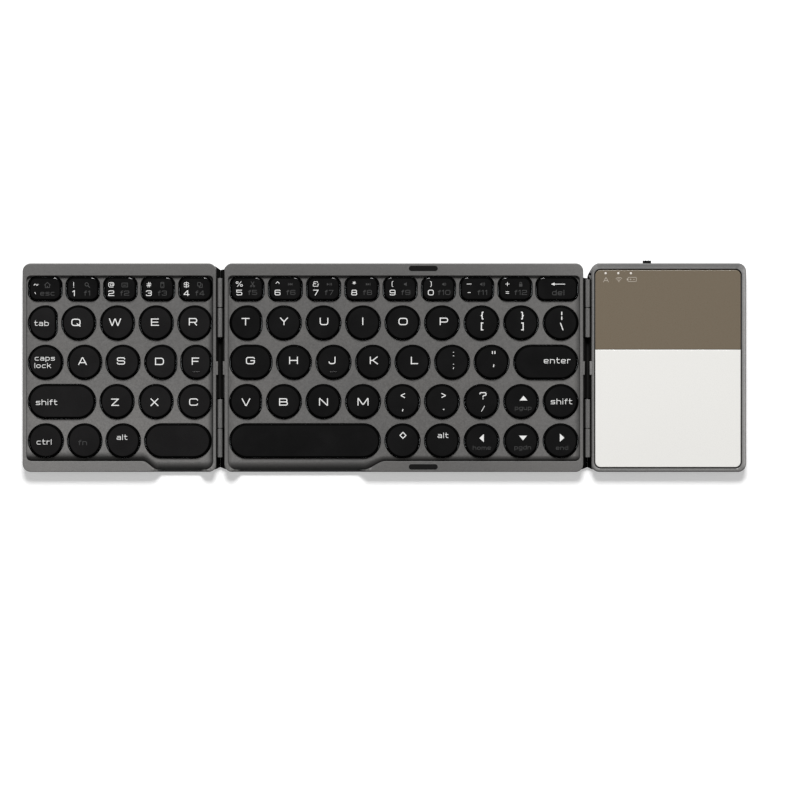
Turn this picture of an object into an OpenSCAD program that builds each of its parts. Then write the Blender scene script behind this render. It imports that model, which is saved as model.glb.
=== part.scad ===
// Tri-fold portable keyboard with a touch surface.
// Millimetres. X runs along the open keyboard, +Y away from the user, +Z up.
// The origin is the middle of the open body, on the surface it stands on.

/* [Panels] */
// Width of the left wing
left_w = 88.6; // [88.4:0.1:90]
// Width of the middle panel
middle_w = 164.2; // [164.0:0.1:166]
// Width of the right wing
right_w = 70.8; // [70:0.1:74]
// Gap between two panels, where a hinge lies
hinge_gap = 3.8; // [3.7:0.1:4.2]
// Depth of the body, front to back
body_d = 95.5; // [95:0.5:97]
// Radius of the outer corners, seen from above
corner_r = 3.8; // [2.5:0.1:4.5]
// Radius of the corners beside a hinge
hinge_corner_r = 3.5; // [2.5:0.1:4.5]

/* [Heights] */
// Height of the rubber feet
foot_h = 0.4; // [0.3:0.05:0.6]
// Height of the seam between bottom cover and top frame
seam_z = 1.5; // [1.45:0.05:1.6]
// Height of the deck that the keys come through
deck_z = 4.3; // [4.25:0.05:4.4]
// Thickness of the deck
deck_t = 0.9; // [0.8:0.05:0.95]
// Height of the rim round the deck
rim_z = 5.9; // [5.85:0.05:6.1]

/* [Keys] */
// Distance between two rows of keys
row_pitch = 18; // [17.95:0.05:18.1]
// Distance between two round keys on the middle panel
key_pitch = 18.1; // [18.05:0.05:18.15]
// Front-to-back size of the opening of a round key
hole_d = 15.95; // [15.6:0.05:16]
// Front-to-back size of the opening of a number key
number_hole_d = 11.2; // [11:0.1:11.3]
// Clearance between a key and its opening
key_clear = 0.25; // [0.2:0.05:0.35]
// Height of the key tops
key_top_z = 5.7; // [5.6:0.05:5.75]
// Height of the lower edge of the key skirts
key_low_z = 3.3; // [3.28:0.02:3.4]
// Thickness of a key's top
key_top_t = 0.9; // [0.8:0.05:1]
// Thickness of a key's skirt
key_skirt_t = 0.8; // [0.7:0.05:0.9]

/* [Hinges] */
// Height of the hinge axis over the rim
axis_over_rim = 0.15; // [0.15:0.01:0.25]
// Diameter of the hinge barrels
barrel_d = 2.4; // [2.2:0.1:2.5]
// Diameter of the hinge pins
pin_d = 1; // [0.9:0.05:1.1]
// Radial play of a pin in its barrel
pin_play = 0.03; // [0.02:0.01:0.06]

/* [Touch panel] */
// Width of the glass
glass_w = 66.5; // [65:0.1:66.8]
// Depth of the glass, both pieces together
glass_d = 90.2; // [90:0.1:91]
// Place of the split between the two pieces, from the body's middle
glass_split_y = 8.3; // [8:0.1:10]
// Thickness of the glass
glass_t = 0.8; // [0.7:0.05:0.9]

/* [Switch] */
// Centre of the power switch from the left edge of the right wing, switched off
switch_x = 25.45; // [24:0.1:27]
// Travel of the power switch
switch_travel = 2; // [1.5:0.1:2.5]

/* [Hidden] */
$fn = 48;
e = 0.01;

// Panel edges
total_w = left_w + middle_w + right_w + 2 * hinge_gap;
xl0 = -total_w / 2;
xl1 = xl0 + left_w;
xm0 = xl1 + hinge_gap;
xm1 = xm0 + middle_w;
xr0 = xm1 + hinge_gap;
xr1 = xr0 + right_w;
yb = body_d / 2;
axis_l = xl1 + hinge_gap / 2;
axis_r = xm1 + hinge_gap / 2;
axis_z = rim_z + axis_over_rim;

// Levels of the pieces inside
floor_z = 1.1;
plate_t = 0.3;
membrane_t = 0.2;
plate_z = floor_z;
membrane_z = plate_z + plate_t;
dome_z = membrane_z + membrane_t;
deck_low = deck_z - deck_t;
plunger_low = 3.6;
wall_t = 1.5;
pocket_y = 43.3;

// Rows: centre and the opening's front-to-back size
y1 = 36.1;
y2 = 20.5;
y3 = y2 - row_pitch;
y4 = y3 - row_pitch;
y5 = y4 - row_pitch;

// A key is [left edge, right edge, row centre, size, left corner radius, right corner radius],
// with the edges of its opening measured in the model's frame.
hr = hole_d / 2;
function span(x0, a, b, y, h, rl, rr) = [x0 + a, x0 + b, y, h, rl, rr];
function round_key(x, c, w, y) = [x + c - w / 2, x + c + w / 2, y, w > 15.8 ? w : hole_d, w / 2, w / 2];

left_numbers = [for (i = [0:4]) span(xl0, 2.7 + 17.2 * i, 17.9 + 17.2 * i, y1, number_hole_d, 3.7, 3.7)];
tab_k = [span(xl0, 2.6, 15.75, y2, hole_d, hr, 5)];
left_upper = [for (i = [0:3]) round_key(xl0, 25.65 + 17.73 * i, 15.5, y2)];
caps_k = [round_key(xl0, 10.52, 15.85, y3)];
left_home = [round_key(xl0, 28.38, 15.55, y3), round_key(xl0, 45.9, 15.5, y3),
    span(xl0, 55.85, 70.45, y3, hole_d, hr, 6.5), round_key(xl0, 79.48, 14.05, y3)];
left_shift = [span(xl0, 2.6, 33.35, y4, hole_d, hr, hr)];
left_lower = [for (i = [0:2]) round_key(xl0, 43.2 + 17.83 * i, 15.5, y4)];
ctrl_k = [round_key(xl0, 10.6, 15.95, y5)];
fn_k = [round_key(xl0, 28.38, 15.6, y5)];
left_alt = [round_key(xl0, 46, 15.65, y5)];
left_space = [span(xl0, 55.85, 86.3, y5, hole_d, hr, hr)];

right_numbers = [for (i = [0:7]) span(xm0, 2.6 + 17.53 * i, 18 + 17.53 * i, y1, number_hole_d, 3.7, 3.7)];
delete_k = [span(xm0, 142.65, 161.8, y1, number_hole_d, 3.7, 3.7)];
column = [for (k = [0:7]) middle_w - 10.3 - key_pitch * (7 - k)];
right_upper = concat([span(xm0, 2.5, 17.05, y2, hole_d, hr, 6.4)],
    [for (k = [0:7]) round_key(xm0, column[k], 15.9, y2)]);
right_home = concat([span(xm0, 2.5, 21.65, y3, hole_d, 7.4, 7.4)],
    [for (k = [0:5]) round_key(xm0, 31.8 + key_pitch * k, 15.9, y3)]);
enter_k = [span(xm0, 132.45, 161.8, y3, hole_d, hr, hr)];
right_lower = concat([span(xm0, 2.3, 16.9, y4, hole_d, hr, 6.4)],
    [for (k = [0:5]) round_key(xm0, column[k], 15.9, y4)]);
up_k = [round_key(xm0, column[6], 15.9, y4)];
right_shift = [round_key(xm0, column[7], 15.9, y4)];
right_space = [span(xm0, 2.3, 71.3, y5, hole_d, hr, hr)];
modifiers = [for (k = [3:4]) round_key(xm0, column[k], 15.9, y5)];
left_k = [round_key(xm0, column[5], 15.9, y5)];
down_k = [round_key(xm0, column[6], 15.9, y5)];
right_k = [round_key(xm0, column[7], 15.9, y5)];

left_keys = concat(left_numbers, tab_k, left_upper, caps_k, left_home, left_shift, left_lower,
    ctrl_k, fn_k, left_alt, left_space);
middle_keys = concat(right_numbers, delete_k, right_upper, right_home, enter_k, right_lower,
    up_k, right_shift, right_space, modifiers, left_k, down_k, right_k);

// Screw places
left_screw_at = [[xl0 + 6, 45.2], [xl0 + 45, 45.2], [xl1 - 6, 45.2], [xl0 + 6, -45.2], [xl0 + 45, -45.2]];
middle_screw_at = [[xm0 + 6, 45.2], [xm0 + 55, 45.2], [xm0 + 120, 45.2], [xm1 - 6, 45.2],
    [xm0 + 82, -45.2], [xm0 + 120, -45.2], [xm1 - 6, -45.2]];
right_screw_at = [[xr0 + 6, 45.2], [xr1 - 6, 45.2], [xr0 + 6, -45.2], [xr1 - 6, -45.2], [xr0 + 35, -45.2]];
screw_low = 0.5;
screw_head_h = 0.5;
screw_head_d = 2.6;
screw_d = 1.4;
screw_top = 4.2;

// Hinge spans along Y
outer_y = [[27.6, 40.9], [-41, -28]];
inner_y = [[13.9, 27.2], [-27.7, -14.5]];
leaf_t = 0.5;
leaf_low = 1.62;
leaf_plate_t = 0.3;

// Colours
frame_c = [0.39, 0.385, 0.38];
key_c = [0.085, 0.083, 0.085];
steel_c = [0.62, 0.62, 0.6];
black_c = [0.06, 0.055, 0.055];

// ---------- outlines ----------

// Rounded rectangle by its edges, with one corner radius on the left and one on the right. Where it is
// narrower than it is deep, a half-round side is cut off at its middle.
module rounded(x0, x1, ya, yc, ra, rb) {
    h = yc - ya;
    w = x1 - x0;
    translate([x0 + ra, ya]) square([w - ra - rb, h]);
    if (2 * ra >= h - 0.02) intersection() {
        translate([x0 + h / 2, (ya + yc) / 2]) circle(d = h);
        if (w < h) translate([x0 - 1, ya - 1]) square([h / 2 + 1 + e, h + 2]);
        else translate([x0 - 1, ya - 1]) square([h + 2, h + 2]);
    }
    else {
        translate([x0, ya + ra]) square([ra + e, h - 2 * ra]);
        for (y = [ya + ra, yc - ra]) translate([x0 + ra, y]) circle(r = ra);
    }
    if (2 * rb >= h - 0.02) translate([x1 - h / 2, (ya + yc) / 2]) circle(d = h);
    else {
        translate([x1 - rb - e, ya + rb]) square([rb + e, h - 2 * rb]);
        for (y = [ya + rb, yc - rb]) translate([x1 - rb, y]) circle(r = rb);
    }
}

// A key's outline, made smaller by c all round. A round key that is a little narrower than it is deep has
// short straight sides.
module key_shape(k, c) {
    r = (k[1] - k[0]) / 2 - c;
    straight = k[3] / 2 - c - r;
    if (k[4] == k[5] && abs(k[4] - r - c) < 0.001) translate([(k[0] + k[1]) / 2, k[2]]) {
        for (y = straight > 0.01 ? [-straight, straight] : [0]) translate([0, y]) circle(r = r);
        if (straight > 0.01) translate([-r, -straight]) square([2 * r, 2 * straight]);
    }
    else rounded(k[0] + c, k[1] - c, k[2] - k[3] / 2 + c, k[2] + k[3] / 2 - c, k[4] - c, k[5] - c);
}

function arc(cx, cy, r, a0, a1, n) = [for (i = [0:n]) [cx + r * cos(a0 + (a1 - a0) * i / n), cy + r * sin(a0 + (a1 - a0) * i / n)]];
// Smooth step from ya at xa to yc at xc
function ess(xa, xc, ya, yc, n) = [for (i = [0:n]) [xa + (xc - xa) * i / n, ya + (yc - ya) * (1 - cos(180 * i / n)) / 2]];

// The well that the deck lies in, with the scoop where the thumbs come in over the front
module left_well() {
    x0 = xl0 + 2.15;
    x1 = xl1 - 1.7;
    polygon(concat(arc(x0 + 2.2, -40.2, 2.2, 180, 270, 6), ess(xl0 + 54.7, xl0 + 62, -42.4, -46.8, 10),
        arc(x1 - 4, -42.8, 4, 270, 360, 8), arc(x1 - 2, 40.1, 2, 0, 90, 6), arc(x0 + 2, 40.1, 2, 90, 180, 6)));
}
module middle_well() {
    x0 = xm0 + 1.6;
    x1 = xm1 - 1.6;
    polygon(concat(arc(x0 + 4, -42.8, 4, 180, 270, 8), ess(xm0 + 63.4, xm0 + 73.9, -46.8, -42.4, 10),
        arc(x1 - 2.2, -40.2, 2.2, 270, 360, 6), arc(x1 - 2, 40.1, 2, 0, 90, 6), arc(x0 + 2, 40.1, 2, 90, 180, 6)));
}

// ---------- shells ----------

module screw_holes(at) {
    for (p = at) translate([p[0], p[1], seam_z - 1]) cylinder(h = screw_top - seam_z + 1.1, d = screw_d);
}

// Notches under a side wall where the hinge leaves pass in; s is 1 for a wall on the right
module leaf_notches(x, s, spans) {
    for (y = spans) translate([s > 0 ? x - wall_t - 0.5 : x - 0.5, y[0] - 0.1, seam_z - 1])
        cube([wall_t + 1, y[1] - y[0] + 0.2, leaf_low + leaf_plate_t + 0.05 - seam_z + 1]);
}

// Small stops at the middle of a hinge side, which narrow the gap over the cable
module gap_stop(x0, x1) {
    translate([x0, -3.3, 4.9]) cube([x1 - x0, 6.2, rim_z - 4.9]);
}

// The deck rolls down to the front edge where the thumbs come in
module front_slope(x0, x1) {
    translate([x0, 0, 0]) rotate([90, 0, 90]) linear_extrude(x1 - x0)
        polygon([[-42.6, deck_z], [-49, deck_z - 2.22], [-49, 9], [-42.6, 9]]);
}

module frame_block(x0, x1, ra, rb) {
    translate([0, 0, seam_z]) linear_extrude(rim_z - seam_z) rounded(x0, x1, -yb, yb, ra, rb);
}

module left_top_frame() color(frame_c) union() {
    difference() {
        frame_block(xl0, xl1, corner_r, hinge_corner_r);
        translate([xl0 + wall_t, -pocket_y, seam_z - 1]) cube([left_w - 2 * wall_t, 2 * pocket_y, deck_low - seam_z + 1]);
        translate([0, 0, deck_z]) linear_extrude(5) left_well();
        for (k = left_keys) translate([0, 0, deck_low - 1]) linear_extrude(4) key_shape(k, 0);
        screw_holes(left_screw_at);
        leaf_notches(xl1, 1, outer_y);
        front_slope(xl0 + 62, xl1 - 5);
    }
    gap_stop(xl1 - 0.2, xl1 + 0.85);
}

module middle_top_frame() color(frame_c) union() {
    difference() {
        frame_block(xm0, xm1, hinge_corner_r, hinge_corner_r);
        translate([xm0 + wall_t, -pocket_y, seam_z - 1]) cube([middle_w - 2 * wall_t, 2 * pocket_y, deck_low - seam_z + 1]);
        translate([0, 0, deck_z]) linear_extrude(5) middle_well();
        for (k = middle_keys) translate([0, 0, deck_low - 1]) linear_extrude(4) key_shape(k, 0);
        screw_holes(middle_screw_at);
        leaf_notches(xm0, -1, inner_y);
        leaf_notches(xm1, 1, inner_y);
        for (y = [-45.4, 45.4]) translate([0, 0, rim_z - 0.9]) linear_extrude(2)
            rounded(bumper_x - 6.65, bumper_x + 6.65, y - 1.25, y + 1.25, 1.25, 1.25);
        front_slope(xm0 + 5.2, xm0 + 63.4);
    }
    gap_stop(xm0 - 0.7, xm0 + 0.2);
    gap_stop(xm1 - 0.2, xm1 + 0.7);
}

// The bumpers stand where the two wings' outer edges come to lie side by side
bumper_x = (2 * axis_l - xl0 + 2 * axis_r - xr1) / 2;
module rim_bumpers() color(black_c) {
    for (y = [-45.4, 45.4]) translate([0, 0, rim_z - 0.9]) linear_extrude(1.05)
        rounded(bumper_x - 6.65, bumper_x + 6.65, y - 1.25, y + 1.25, 1.25, 1.25);
}

// Strip of a cover that reaches under the hinge; s is 1 for a cover left of the axis
module under_strip(x, ax, s) {
    xi = x - s * 0.5;
    xo = ax - s * 0.15;
    translate([0, 0, foot_h]) linear_extrude(seam_z - foot_h)
        polygon([[xi, -44], [x, -46.3], [xo, -45.6], [xo, 44.8], [x, 46], [xi, 44]]);
}

module cover_block(x0, x1, ra, rb) {
    translate([0, 0, foot_h]) linear_extrude(seam_z - foot_h) rounded(x0, x1, -yb, yb, ra, rb);
}

module cover_screw_holes(at) {
    for (p = at) translate([p[0], p[1], 0]) {
        cylinder(h = 3, d = screw_d + 0.2);
        cylinder(h = screw_low + screw_head_h, d = screw_head_d + 0.2);
    }
}

module foot_seats(at) {
    for (p = at) translate([p[0], p[1], 0]) cylinder(h = foot_h + 0.2, d = foot_d);
}
foot_d = 6;
left_feet_at = [[xl0 + 12, 38], [xl0 + 12, -38], [xl1 - 14, -38], [xl1 - 14, 38]];
middle_feet_at = [[xm0 + 14, 38], [xm0 + 14, -38], [xm1 - 14, 38], [xm1 - 14, -38]];
right_feet_at = [[xr0 + 12, 38], [xr0 + 12, -38], [xr1 - 12, 38], [xr1 - 12, -38]];

module left_bottom_cover() color(frame_c) difference() {
    union() {
        cover_block(xl0, xl1, corner_r, hinge_corner_r);
        under_strip(xl1, axis_l, 1);
    }
    translate([xl0 + wall_t, -pocket_y, floor_z]) cube([left_w - 2 * wall_t, 2 * pocket_y, 3]);
    cover_screw_holes(left_screw_at);
    foot_seats(left_feet_at);
}

module middle_bottom_cover() color(frame_c) difference() {
    union() {
        cover_block(xm0, xm1, hinge_corner_r, hinge_corner_r);
        under_strip(xm0, axis_l, -1);
        under_strip(xm1, axis_r, 1);
    }
    translate([xm0 + wall_t, -pocket_y, floor_z]) cube([middle_w - 2 * wall_t, 2 * pocket_y, 3]);
    cover_screw_holes(middle_screw_at);
    foot_seats(middle_feet_at);
}

module feet(at) color(black_c) for (p = at) translate([p[0], p[1], 0]) cylinder(h = foot_h + 0.2, d = foot_d);
module left_feet() feet(left_feet_at);
module middle_feet() feet(middle_feet_at);
module right_feet() feet(right_feet_at);

module screws(at) color(steel_c) for (p = at) translate([p[0], p[1], screw_low]) difference() {
    union() {
        cylinder(h = screw_head_h, d = screw_head_d);
        cylinder(h = screw_top - screw_low, d = screw_d);
    }
    for (a = [0, 90]) rotate([0, 0, a]) translate([-0.75, -0.15, -e]) cube([1.5, 0.3, 0.35]);
}
module left_screws() screws(left_screw_at);
module middle_screws() screws(middle_screw_at);
module right_screws() screws(right_screw_at);

// ---------- key works ----------

module sheet(x0, x1, z, t, c) color(c) translate([x0 + wall_t + 0.25, -pocket_y + 0.25, z])
    cube([x1 - x0 - 2 * wall_t - 0.5, 2 * pocket_y - 0.5, t]);
module left_support_plate() sheet(xl0, xl1, plate_z, plate_t, steel_c);
module middle_support_plate() sheet(xm0, xm1, plate_z, plate_t, steel_c);
module left_membrane() sheet(xl0, xl1, membrane_z, membrane_t, [0.75, 0.78, 0.8]);
module middle_membrane() sheet(xm0, xm1, membrane_z, membrane_t, [0.75, 0.78, 0.8]);

module dome() difference() {
    cylinder(h = plunger_low - dome_z, d1 = 4.4, d2 = 2.6);
    translate([0, 0, -e]) cylinder(h = plunger_low - dome_z - 0.5, d1 = 3.6, d2 = 1.8);
}
module domes(keys) color([0.8, 0.8, 0.78]) for (k = keys) translate([(k[0] + k[1]) / 2, k[2], dome_z]) dome();
module left_domes() domes(left_keys);
module middle_domes() domes(middle_keys);

scissor_z = 3.15;
scissor_a = 14;
module ring(w, d, ww, wd, a) rotate([0, a, 0]) difference() {
    cube([w, d, 0.55], center = true);
    cube([ww, wd, 1], center = true);
}
module scissor() {
    ring(9, 7.2, 7.4, 5.8, scissor_a);
    ring(9, 5.4, 7.4, 4, -scissor_a);
}
// Long keys stand on two or three of them
function scissor_places(k) = let (w = k[1] - k[0], c = (k[0] + k[1]) / 2)
    w > 50 ? [c - w / 3, c, c + w / 3] : w > 25 ? [c - w / 4, c + w / 4] : [c];
module scissors(keys) color([0.85, 0.85, 0.83]) for (k = keys) for (x = scissor_places(k)) translate([x, k[2], scissor_z]) scissor();
module left_scissors() scissors(left_keys);
module middle_scissors() scissors(middle_keys);

module key_cap(k) {
    difference() {
        translate([0, 0, key_low_z]) linear_extrude(key_top_z - key_low_z) key_shape(k, key_clear);
        translate([0, 0, key_low_z - 1]) linear_extrude(key_top_z - key_top_t - key_low_z + 1) key_shape(k, key_clear + key_skirt_t);
    }
    translate([(k[0] + k[1]) / 2, k[2], plunger_low]) cylinder(h = key_top_z - key_top_t - plunger_low + 0.1, d = 2.5);
}
module keys(list) color(key_c) for (k = list) key_cap(k);

module left_number_keys() keys(left_numbers);
module tab_key() keys(tab_k);
module left_upper_letter_keys() keys(left_upper);
module caps_lock_key() keys(caps_k);
module left_home_letter_keys() keys(left_home);
module left_shift_key() keys(left_shift);
module left_lower_letter_keys() keys(left_lower);
module ctrl_key() keys(ctrl_k);
module fn_key() keys(fn_k);
module left_alt_key() keys(left_alt);
module left_space_key() keys(left_space);
module right_number_keys() keys(right_numbers);
module delete_key() keys(delete_k);
module right_upper_letter_keys() keys(right_upper);
module right_home_letter_keys() keys(right_home);
module enter_key() keys(enter_k);
module right_lower_letter_keys() keys(right_lower);
module up_arrow_key() keys(up_k);
module right_shift_key() keys(right_shift);
module right_space_key() keys(right_space);
module right_modifier_keys() keys(modifiers);
module left_arrow_key() keys(left_k);
module down_arrow_key() keys(down_k);
module right_arrow_key() keys(right_k);

// ---------- hinges ----------

// One knuckle with the leaf that carries it. s is 1 where the panel lies left of the axis.
module knuckle(ax, s, y) {
    h = y[1] - y[0];
    face = hinge_gap / 2;
    translate([ax, y[0], 0]) {
        difference() {
            union() {
                translate([0, h, axis_z]) rotate([90, 0, 0]) cylinder(h = h, d = barrel_d);
                mirror([s > 0 ? 0 : 1, 0, 0]) translate([-face, 0, axis_z - 1.15]) cube([face - 0.2, h, 0.95]);
            }
            translate([0, h + 1, axis_z]) rotate([90, 0, 0]) cylinder(h = h + 2, d = pin_d + 2 * pin_play);
        }
        mirror([s > 0 ? 0 : 1, 0, 0]) {
            translate([-face, 0, leaf_low]) cube([leaf_t, h, axis_z - 0.6 - leaf_low]);
            translate([-face - 4, 0, leaf_low]) cube([4.2, h, leaf_plate_t]);
        }
    }
}
module left_hinge_knuckles() color(frame_c) for (y = outer_y) knuckle(axis_l, 1, y);
module right_hinge_knuckles() color(frame_c) for (y = outer_y) knuckle(axis_r, -1, y);
module inner_hinge_knuckles() color(frame_c) for (y = inner_y) {
    knuckle(axis_l, -1, y);
    knuckle(axis_r, 1, y);
}

module hinge_pins() color(steel_c) for (ax = [axis_l, axis_r], y = [[14.1, 40.7], [-40.8, -14.7]])
    translate([ax, y[1], axis_z]) rotate([90, 0, 0]) cylinder(h = y[1] - y[0], d = pin_d);

// Bars on the middle panel's sides that hold the ends of the cables
clamp_t = 0.5;
cable_y = [-13.9, 13.4];
module flex_clamps() color(black_c) {
    translate([xm0 - clamp_t, cable_y[0], 3.9]) cube([clamp_t, cable_y[1] - cable_y[0], 0.95]);
    translate([xm1, cable_y[0], 3.9]) cube([clamp_t, cable_y[1] - cable_y[0], 0.95]);
}

// A cable hangs in a shallow loop under the hinge axis, so that it can wrap round the axis when the wing folds
cable_t = 0.2;
module flex_cable(xa, xc) {
    n = 12;
    sag = 1.5;
    color(black_c) translate([0, cable_y[1], 0]) rotate([90, 0, 0]) linear_extrude(cable_y[1] - cable_y[0])
        polygon(concat([for (i = [0:n]) [xa + (xc - xa) * i / n, 4.4 - sag * sin(180 * i / n)]],
            [for (i = [n:-1:0]) [xa + (xc - xa) * i / n, 4.4 + cable_t - sag * sin(180 * i / n)]]));
}
module left_flex_cable() flex_cable(xl1, xm0 - clamp_t);
module right_flex_cable() flex_cable(xm1 + clamp_t, xr0);

// ---------- touch panel ----------

glass_cx = (xr0 + xr1) / 2;
gx0 = glass_cx - glass_w / 2 - 0.43;
gx1 = gx0 + glass_w;
gy0 = -glass_d / 2 - 0.45;
gy1 = gy0 + glass_d;
glass_z = rim_z - 0.2 - glass_t;
groove = 0.5;
glass_r = 2.4;

module right_top_frame() color([0.47, 0.465, 0.46]) difference() {
    union() {
        frame_block(xr0, xr1, hinge_corner_r, corner_r);
        gap_stop(xr0 - 0.85, xr0 + 0.2);
    }
    translate([0, 0, glass_z]) linear_extrude(3) rounded(gx0 - groove, gx1 + groove, gy0 - groove, gy1 + groove, glass_r + groove, glass_r + groove);
    translate([xr0 + 3.6, -43, seam_z - 1]) cube([right_w - 7.2, 86.9, glass_z - seam_z + 2]);
    translate([xr0 + wall_t, -42, seam_z - 1]) cube([right_w - 2 * wall_t, 84, 4.1 - seam_z + 1]);
    screw_holes(right_screw_at);
    leaf_notches(xr0, -1, outer_y);
    // Charging port opening
    translate([xr1 - 4, -4.1, 1.75]) cube([5, 8.2, 2.7]);
    // Switch slot and the room behind it
    translate([xr0 + switch_x - 2.15, 42, 2.2]) cube([4.3 + switch_travel, 8, 2.4]);
    translate([xr0 + switch_x - 3.4, 42.5, 1.4]) cube([6.8 + switch_travel, 3.15, 3.3]);
}

module right_bottom_cover() color(frame_c) difference() {
    union() {
        cover_block(xr0, xr1, hinge_corner_r, corner_r);
        under_strip(xr0, axis_r, -1);
        for (p = board_posts) translate([p[0], p[1], foot_h]) cylinder(h = board_z - foot_h, d = 3);
    }
    difference() {
        translate([xr0 + wall_t, -42, floor_z]) cube([right_w - 2 * wall_t, 84, 3]);
        for (p = board_posts) translate([p[0], p[1], 0]) cylinder(h = board_z, d = 3);
    }
    cover_screw_holes(right_screw_at);
    foot_seats(right_feet_at);
}

module glass(y0, y1) translate([0, 0, glass_z]) linear_extrude(glass_t) intersection() {
    rounded(gx0, gx1, gy0, gy1, glass_r, glass_r);
    translate([gx0 - 1, y0]) square([glass_w + 2, y1 - y0]);
}
led_at = [[xr0 + 6.45, 43.15], [xr0 + 12.25, 43.15], [xr0 + 18.0, 43.15]];
led_d = 1.1;
module indicator_panel() color([0.46, 0.42, 0.36]) difference() {
    glass(glass_split_y, gy1 + 1);
    for (p = led_at) translate([p[0], p[1], 0]) cylinder(h = 9, d = led_d + 0.1);
}
module touch_surface() color([0.93, 0.92, 0.9]) glass(gy0 - 1, glass_split_y - 0.1);

board_z = 1.35;
board_t = 0.5;
board_posts = [[xr0 + 9, 4], [xr1 - 9, 14], [xr0 + 9, 30], [xr1 - 9, 36]];
module touch_board() color([0.1, 0.3, 0.2]) translate([xr0 + 5, -41.5, glass_z - 0.7]) cube([right_w - 11.5, 49, 0.7]);
module main_board() color([0.1, 0.3, 0.2]) union() {
    translate([xr0 + 5, -6, board_z]) cube([right_w - 7.2, 47.6, board_t]);
    // Radio module, controller and the body of the slide switch
    translate([xr0 + 12, 12, board_z + board_t - e]) cube([12, 14, 1.2]);
    translate([xr0 + 34, 8, board_z + board_t - e]) cube([7, 7, 0.9]);
    translate([xr0 + switch_x - 3, 38.2, board_z + board_t - e]) cube([8, 3.2, 1.6]);
}
// The light guides stand on the board and end flush with the panel
module indicator_leds() color([0.75, 0.85, 0.95]) for (p = led_at) {
    translate([p[0], p[1], 3.1]) cylinder(h = rim_z - 0.2 - 3.1, d = led_d);
    translate([p[0] - 0.8, 39.4, board_z + board_t]) cube([1.6, 1.6, 1.25]);
    translate([p[0] - 0.55, 39.4, 3.1 - e]) cube([1.1, 4.2, 0.7]);
}
module battery() color([0.7, 0.7, 0.72]) translate([xr0 + 5, -41.2, floor_z]) cube([right_w - 10, 33, 2.6]);

// Socket shell with its tongue, open on the wing's outer side
module charging_port() color(steel_c) translate([xr1 - 5.9, -3.75, board_z + board_t]) {
    difference() {
        cube([5.6, 7.5, 2.4]);
        translate([0.4, 0.35, 0.35]) cube([6, 6.8, 1.7]);
    }
    translate([0.2, 1.6, 1.2]) cube([4.2, 4.3, 0.5]);
}

module power_switch_knob() color(black_c) {
    translate([xr0 + switch_x - 1.9, 43.9, 2.45]) cube([3.8, yb + 1.35 - 43.9, 1.9]);
    translate([xr0 + switch_x - 3, 43.9, 2]) cube([6, 1.4, 2.5]);
}

middle_top_frame();
middle_bottom_cover();
middle_support_plate();
middle_membrane();
middle_domes();
middle_scissors();
middle_screws();
middle_feet();
rim_bumpers();
inner_hinge_knuckles();
hinge_pins();
flex_clamps();
left_top_frame();
left_bottom_cover();
left_support_plate();
left_membrane();
left_domes();
left_scissors();
left_screws();
left_feet();
left_hinge_knuckles();
left_flex_cable();
right_top_frame();
right_bottom_cover();
indicator_panel();
touch_surface();
touch_board();
main_board();
battery();
charging_port();
indicator_leds();
right_screws();
right_feet();
right_hinge_knuckles();
right_flex_cable();
power_switch_knob();
left_number_keys();
tab_key();
left_upper_letter_keys();
caps_lock_key();
left_home_letter_keys();
left_shift_key();
left_lower_letter_keys();
ctrl_key();
fn_key();
left_alt_key();
left_space_key();
right_number_keys();
delete_key();
right_upper_letter_keys();
right_home_letter_keys();
enter_key();
right_lower_letter_keys();
up_arrow_key();
right_shift_key();
right_space_key();
right_modifier_keys();
left_arrow_key();
down_arrow_key();
right_arrow_key();
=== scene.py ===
import math

import bmesh
import bpy
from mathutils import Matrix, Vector
from mathutils.geometry import delaunay_2d_cdt


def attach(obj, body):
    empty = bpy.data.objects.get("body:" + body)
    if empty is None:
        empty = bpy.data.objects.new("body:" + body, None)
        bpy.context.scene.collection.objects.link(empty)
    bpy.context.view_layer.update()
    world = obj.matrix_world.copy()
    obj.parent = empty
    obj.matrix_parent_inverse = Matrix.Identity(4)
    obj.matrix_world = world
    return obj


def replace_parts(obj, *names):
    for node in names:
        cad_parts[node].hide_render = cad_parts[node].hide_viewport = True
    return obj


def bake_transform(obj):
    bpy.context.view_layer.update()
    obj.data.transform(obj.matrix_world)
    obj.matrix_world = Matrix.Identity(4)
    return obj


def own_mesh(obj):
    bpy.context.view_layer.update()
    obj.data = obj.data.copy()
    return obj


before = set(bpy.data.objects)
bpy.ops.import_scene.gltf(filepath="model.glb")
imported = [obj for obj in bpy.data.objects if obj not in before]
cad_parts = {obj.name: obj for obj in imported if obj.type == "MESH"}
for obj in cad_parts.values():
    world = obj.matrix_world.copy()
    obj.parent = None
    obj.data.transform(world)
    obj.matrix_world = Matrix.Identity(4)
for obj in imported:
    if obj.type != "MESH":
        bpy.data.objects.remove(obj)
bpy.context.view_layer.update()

MM = 0.001

# ---------------------------------------------------------------- sizes, in millimetres, as in the frame
XL0, XL1, XM0, XM1, XR0, XR1 = -165.6, -77.0, -73.2, 91.0, 94.8, 165.6
YB = 47.75
AX_L, AX_R, AX_Z = -75.1, 92.9, 6.05
FOOT, SEAM, DECK, DECK_LOW, RIM = 0.4, 1.5, 4.3, 3.4, 5.9
KEY_TOP, KEY_LOW = 5.7, 3.3
HOLE = 15.95
HR = HOLE / 2
Y1, Y2, Y3, Y4, Y5 = 36.1, 20.5, 2.5, -15.5, -33.5
OUTER_Y = [(27.6, 40.9), (-41.0, -28.0)]
INNER_Y = [(13.9, 27.2), (-27.7, -14.5)]
CABLE_Y = (-13.9, 13.4)


def at(px, py):
    """A place on the key face, from where it lies in the 800 by 800 frame of the camera."""
    return (-165.6 + (px - 22.5) * 0.4576, (367.9 - py) * 0.4576)


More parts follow.
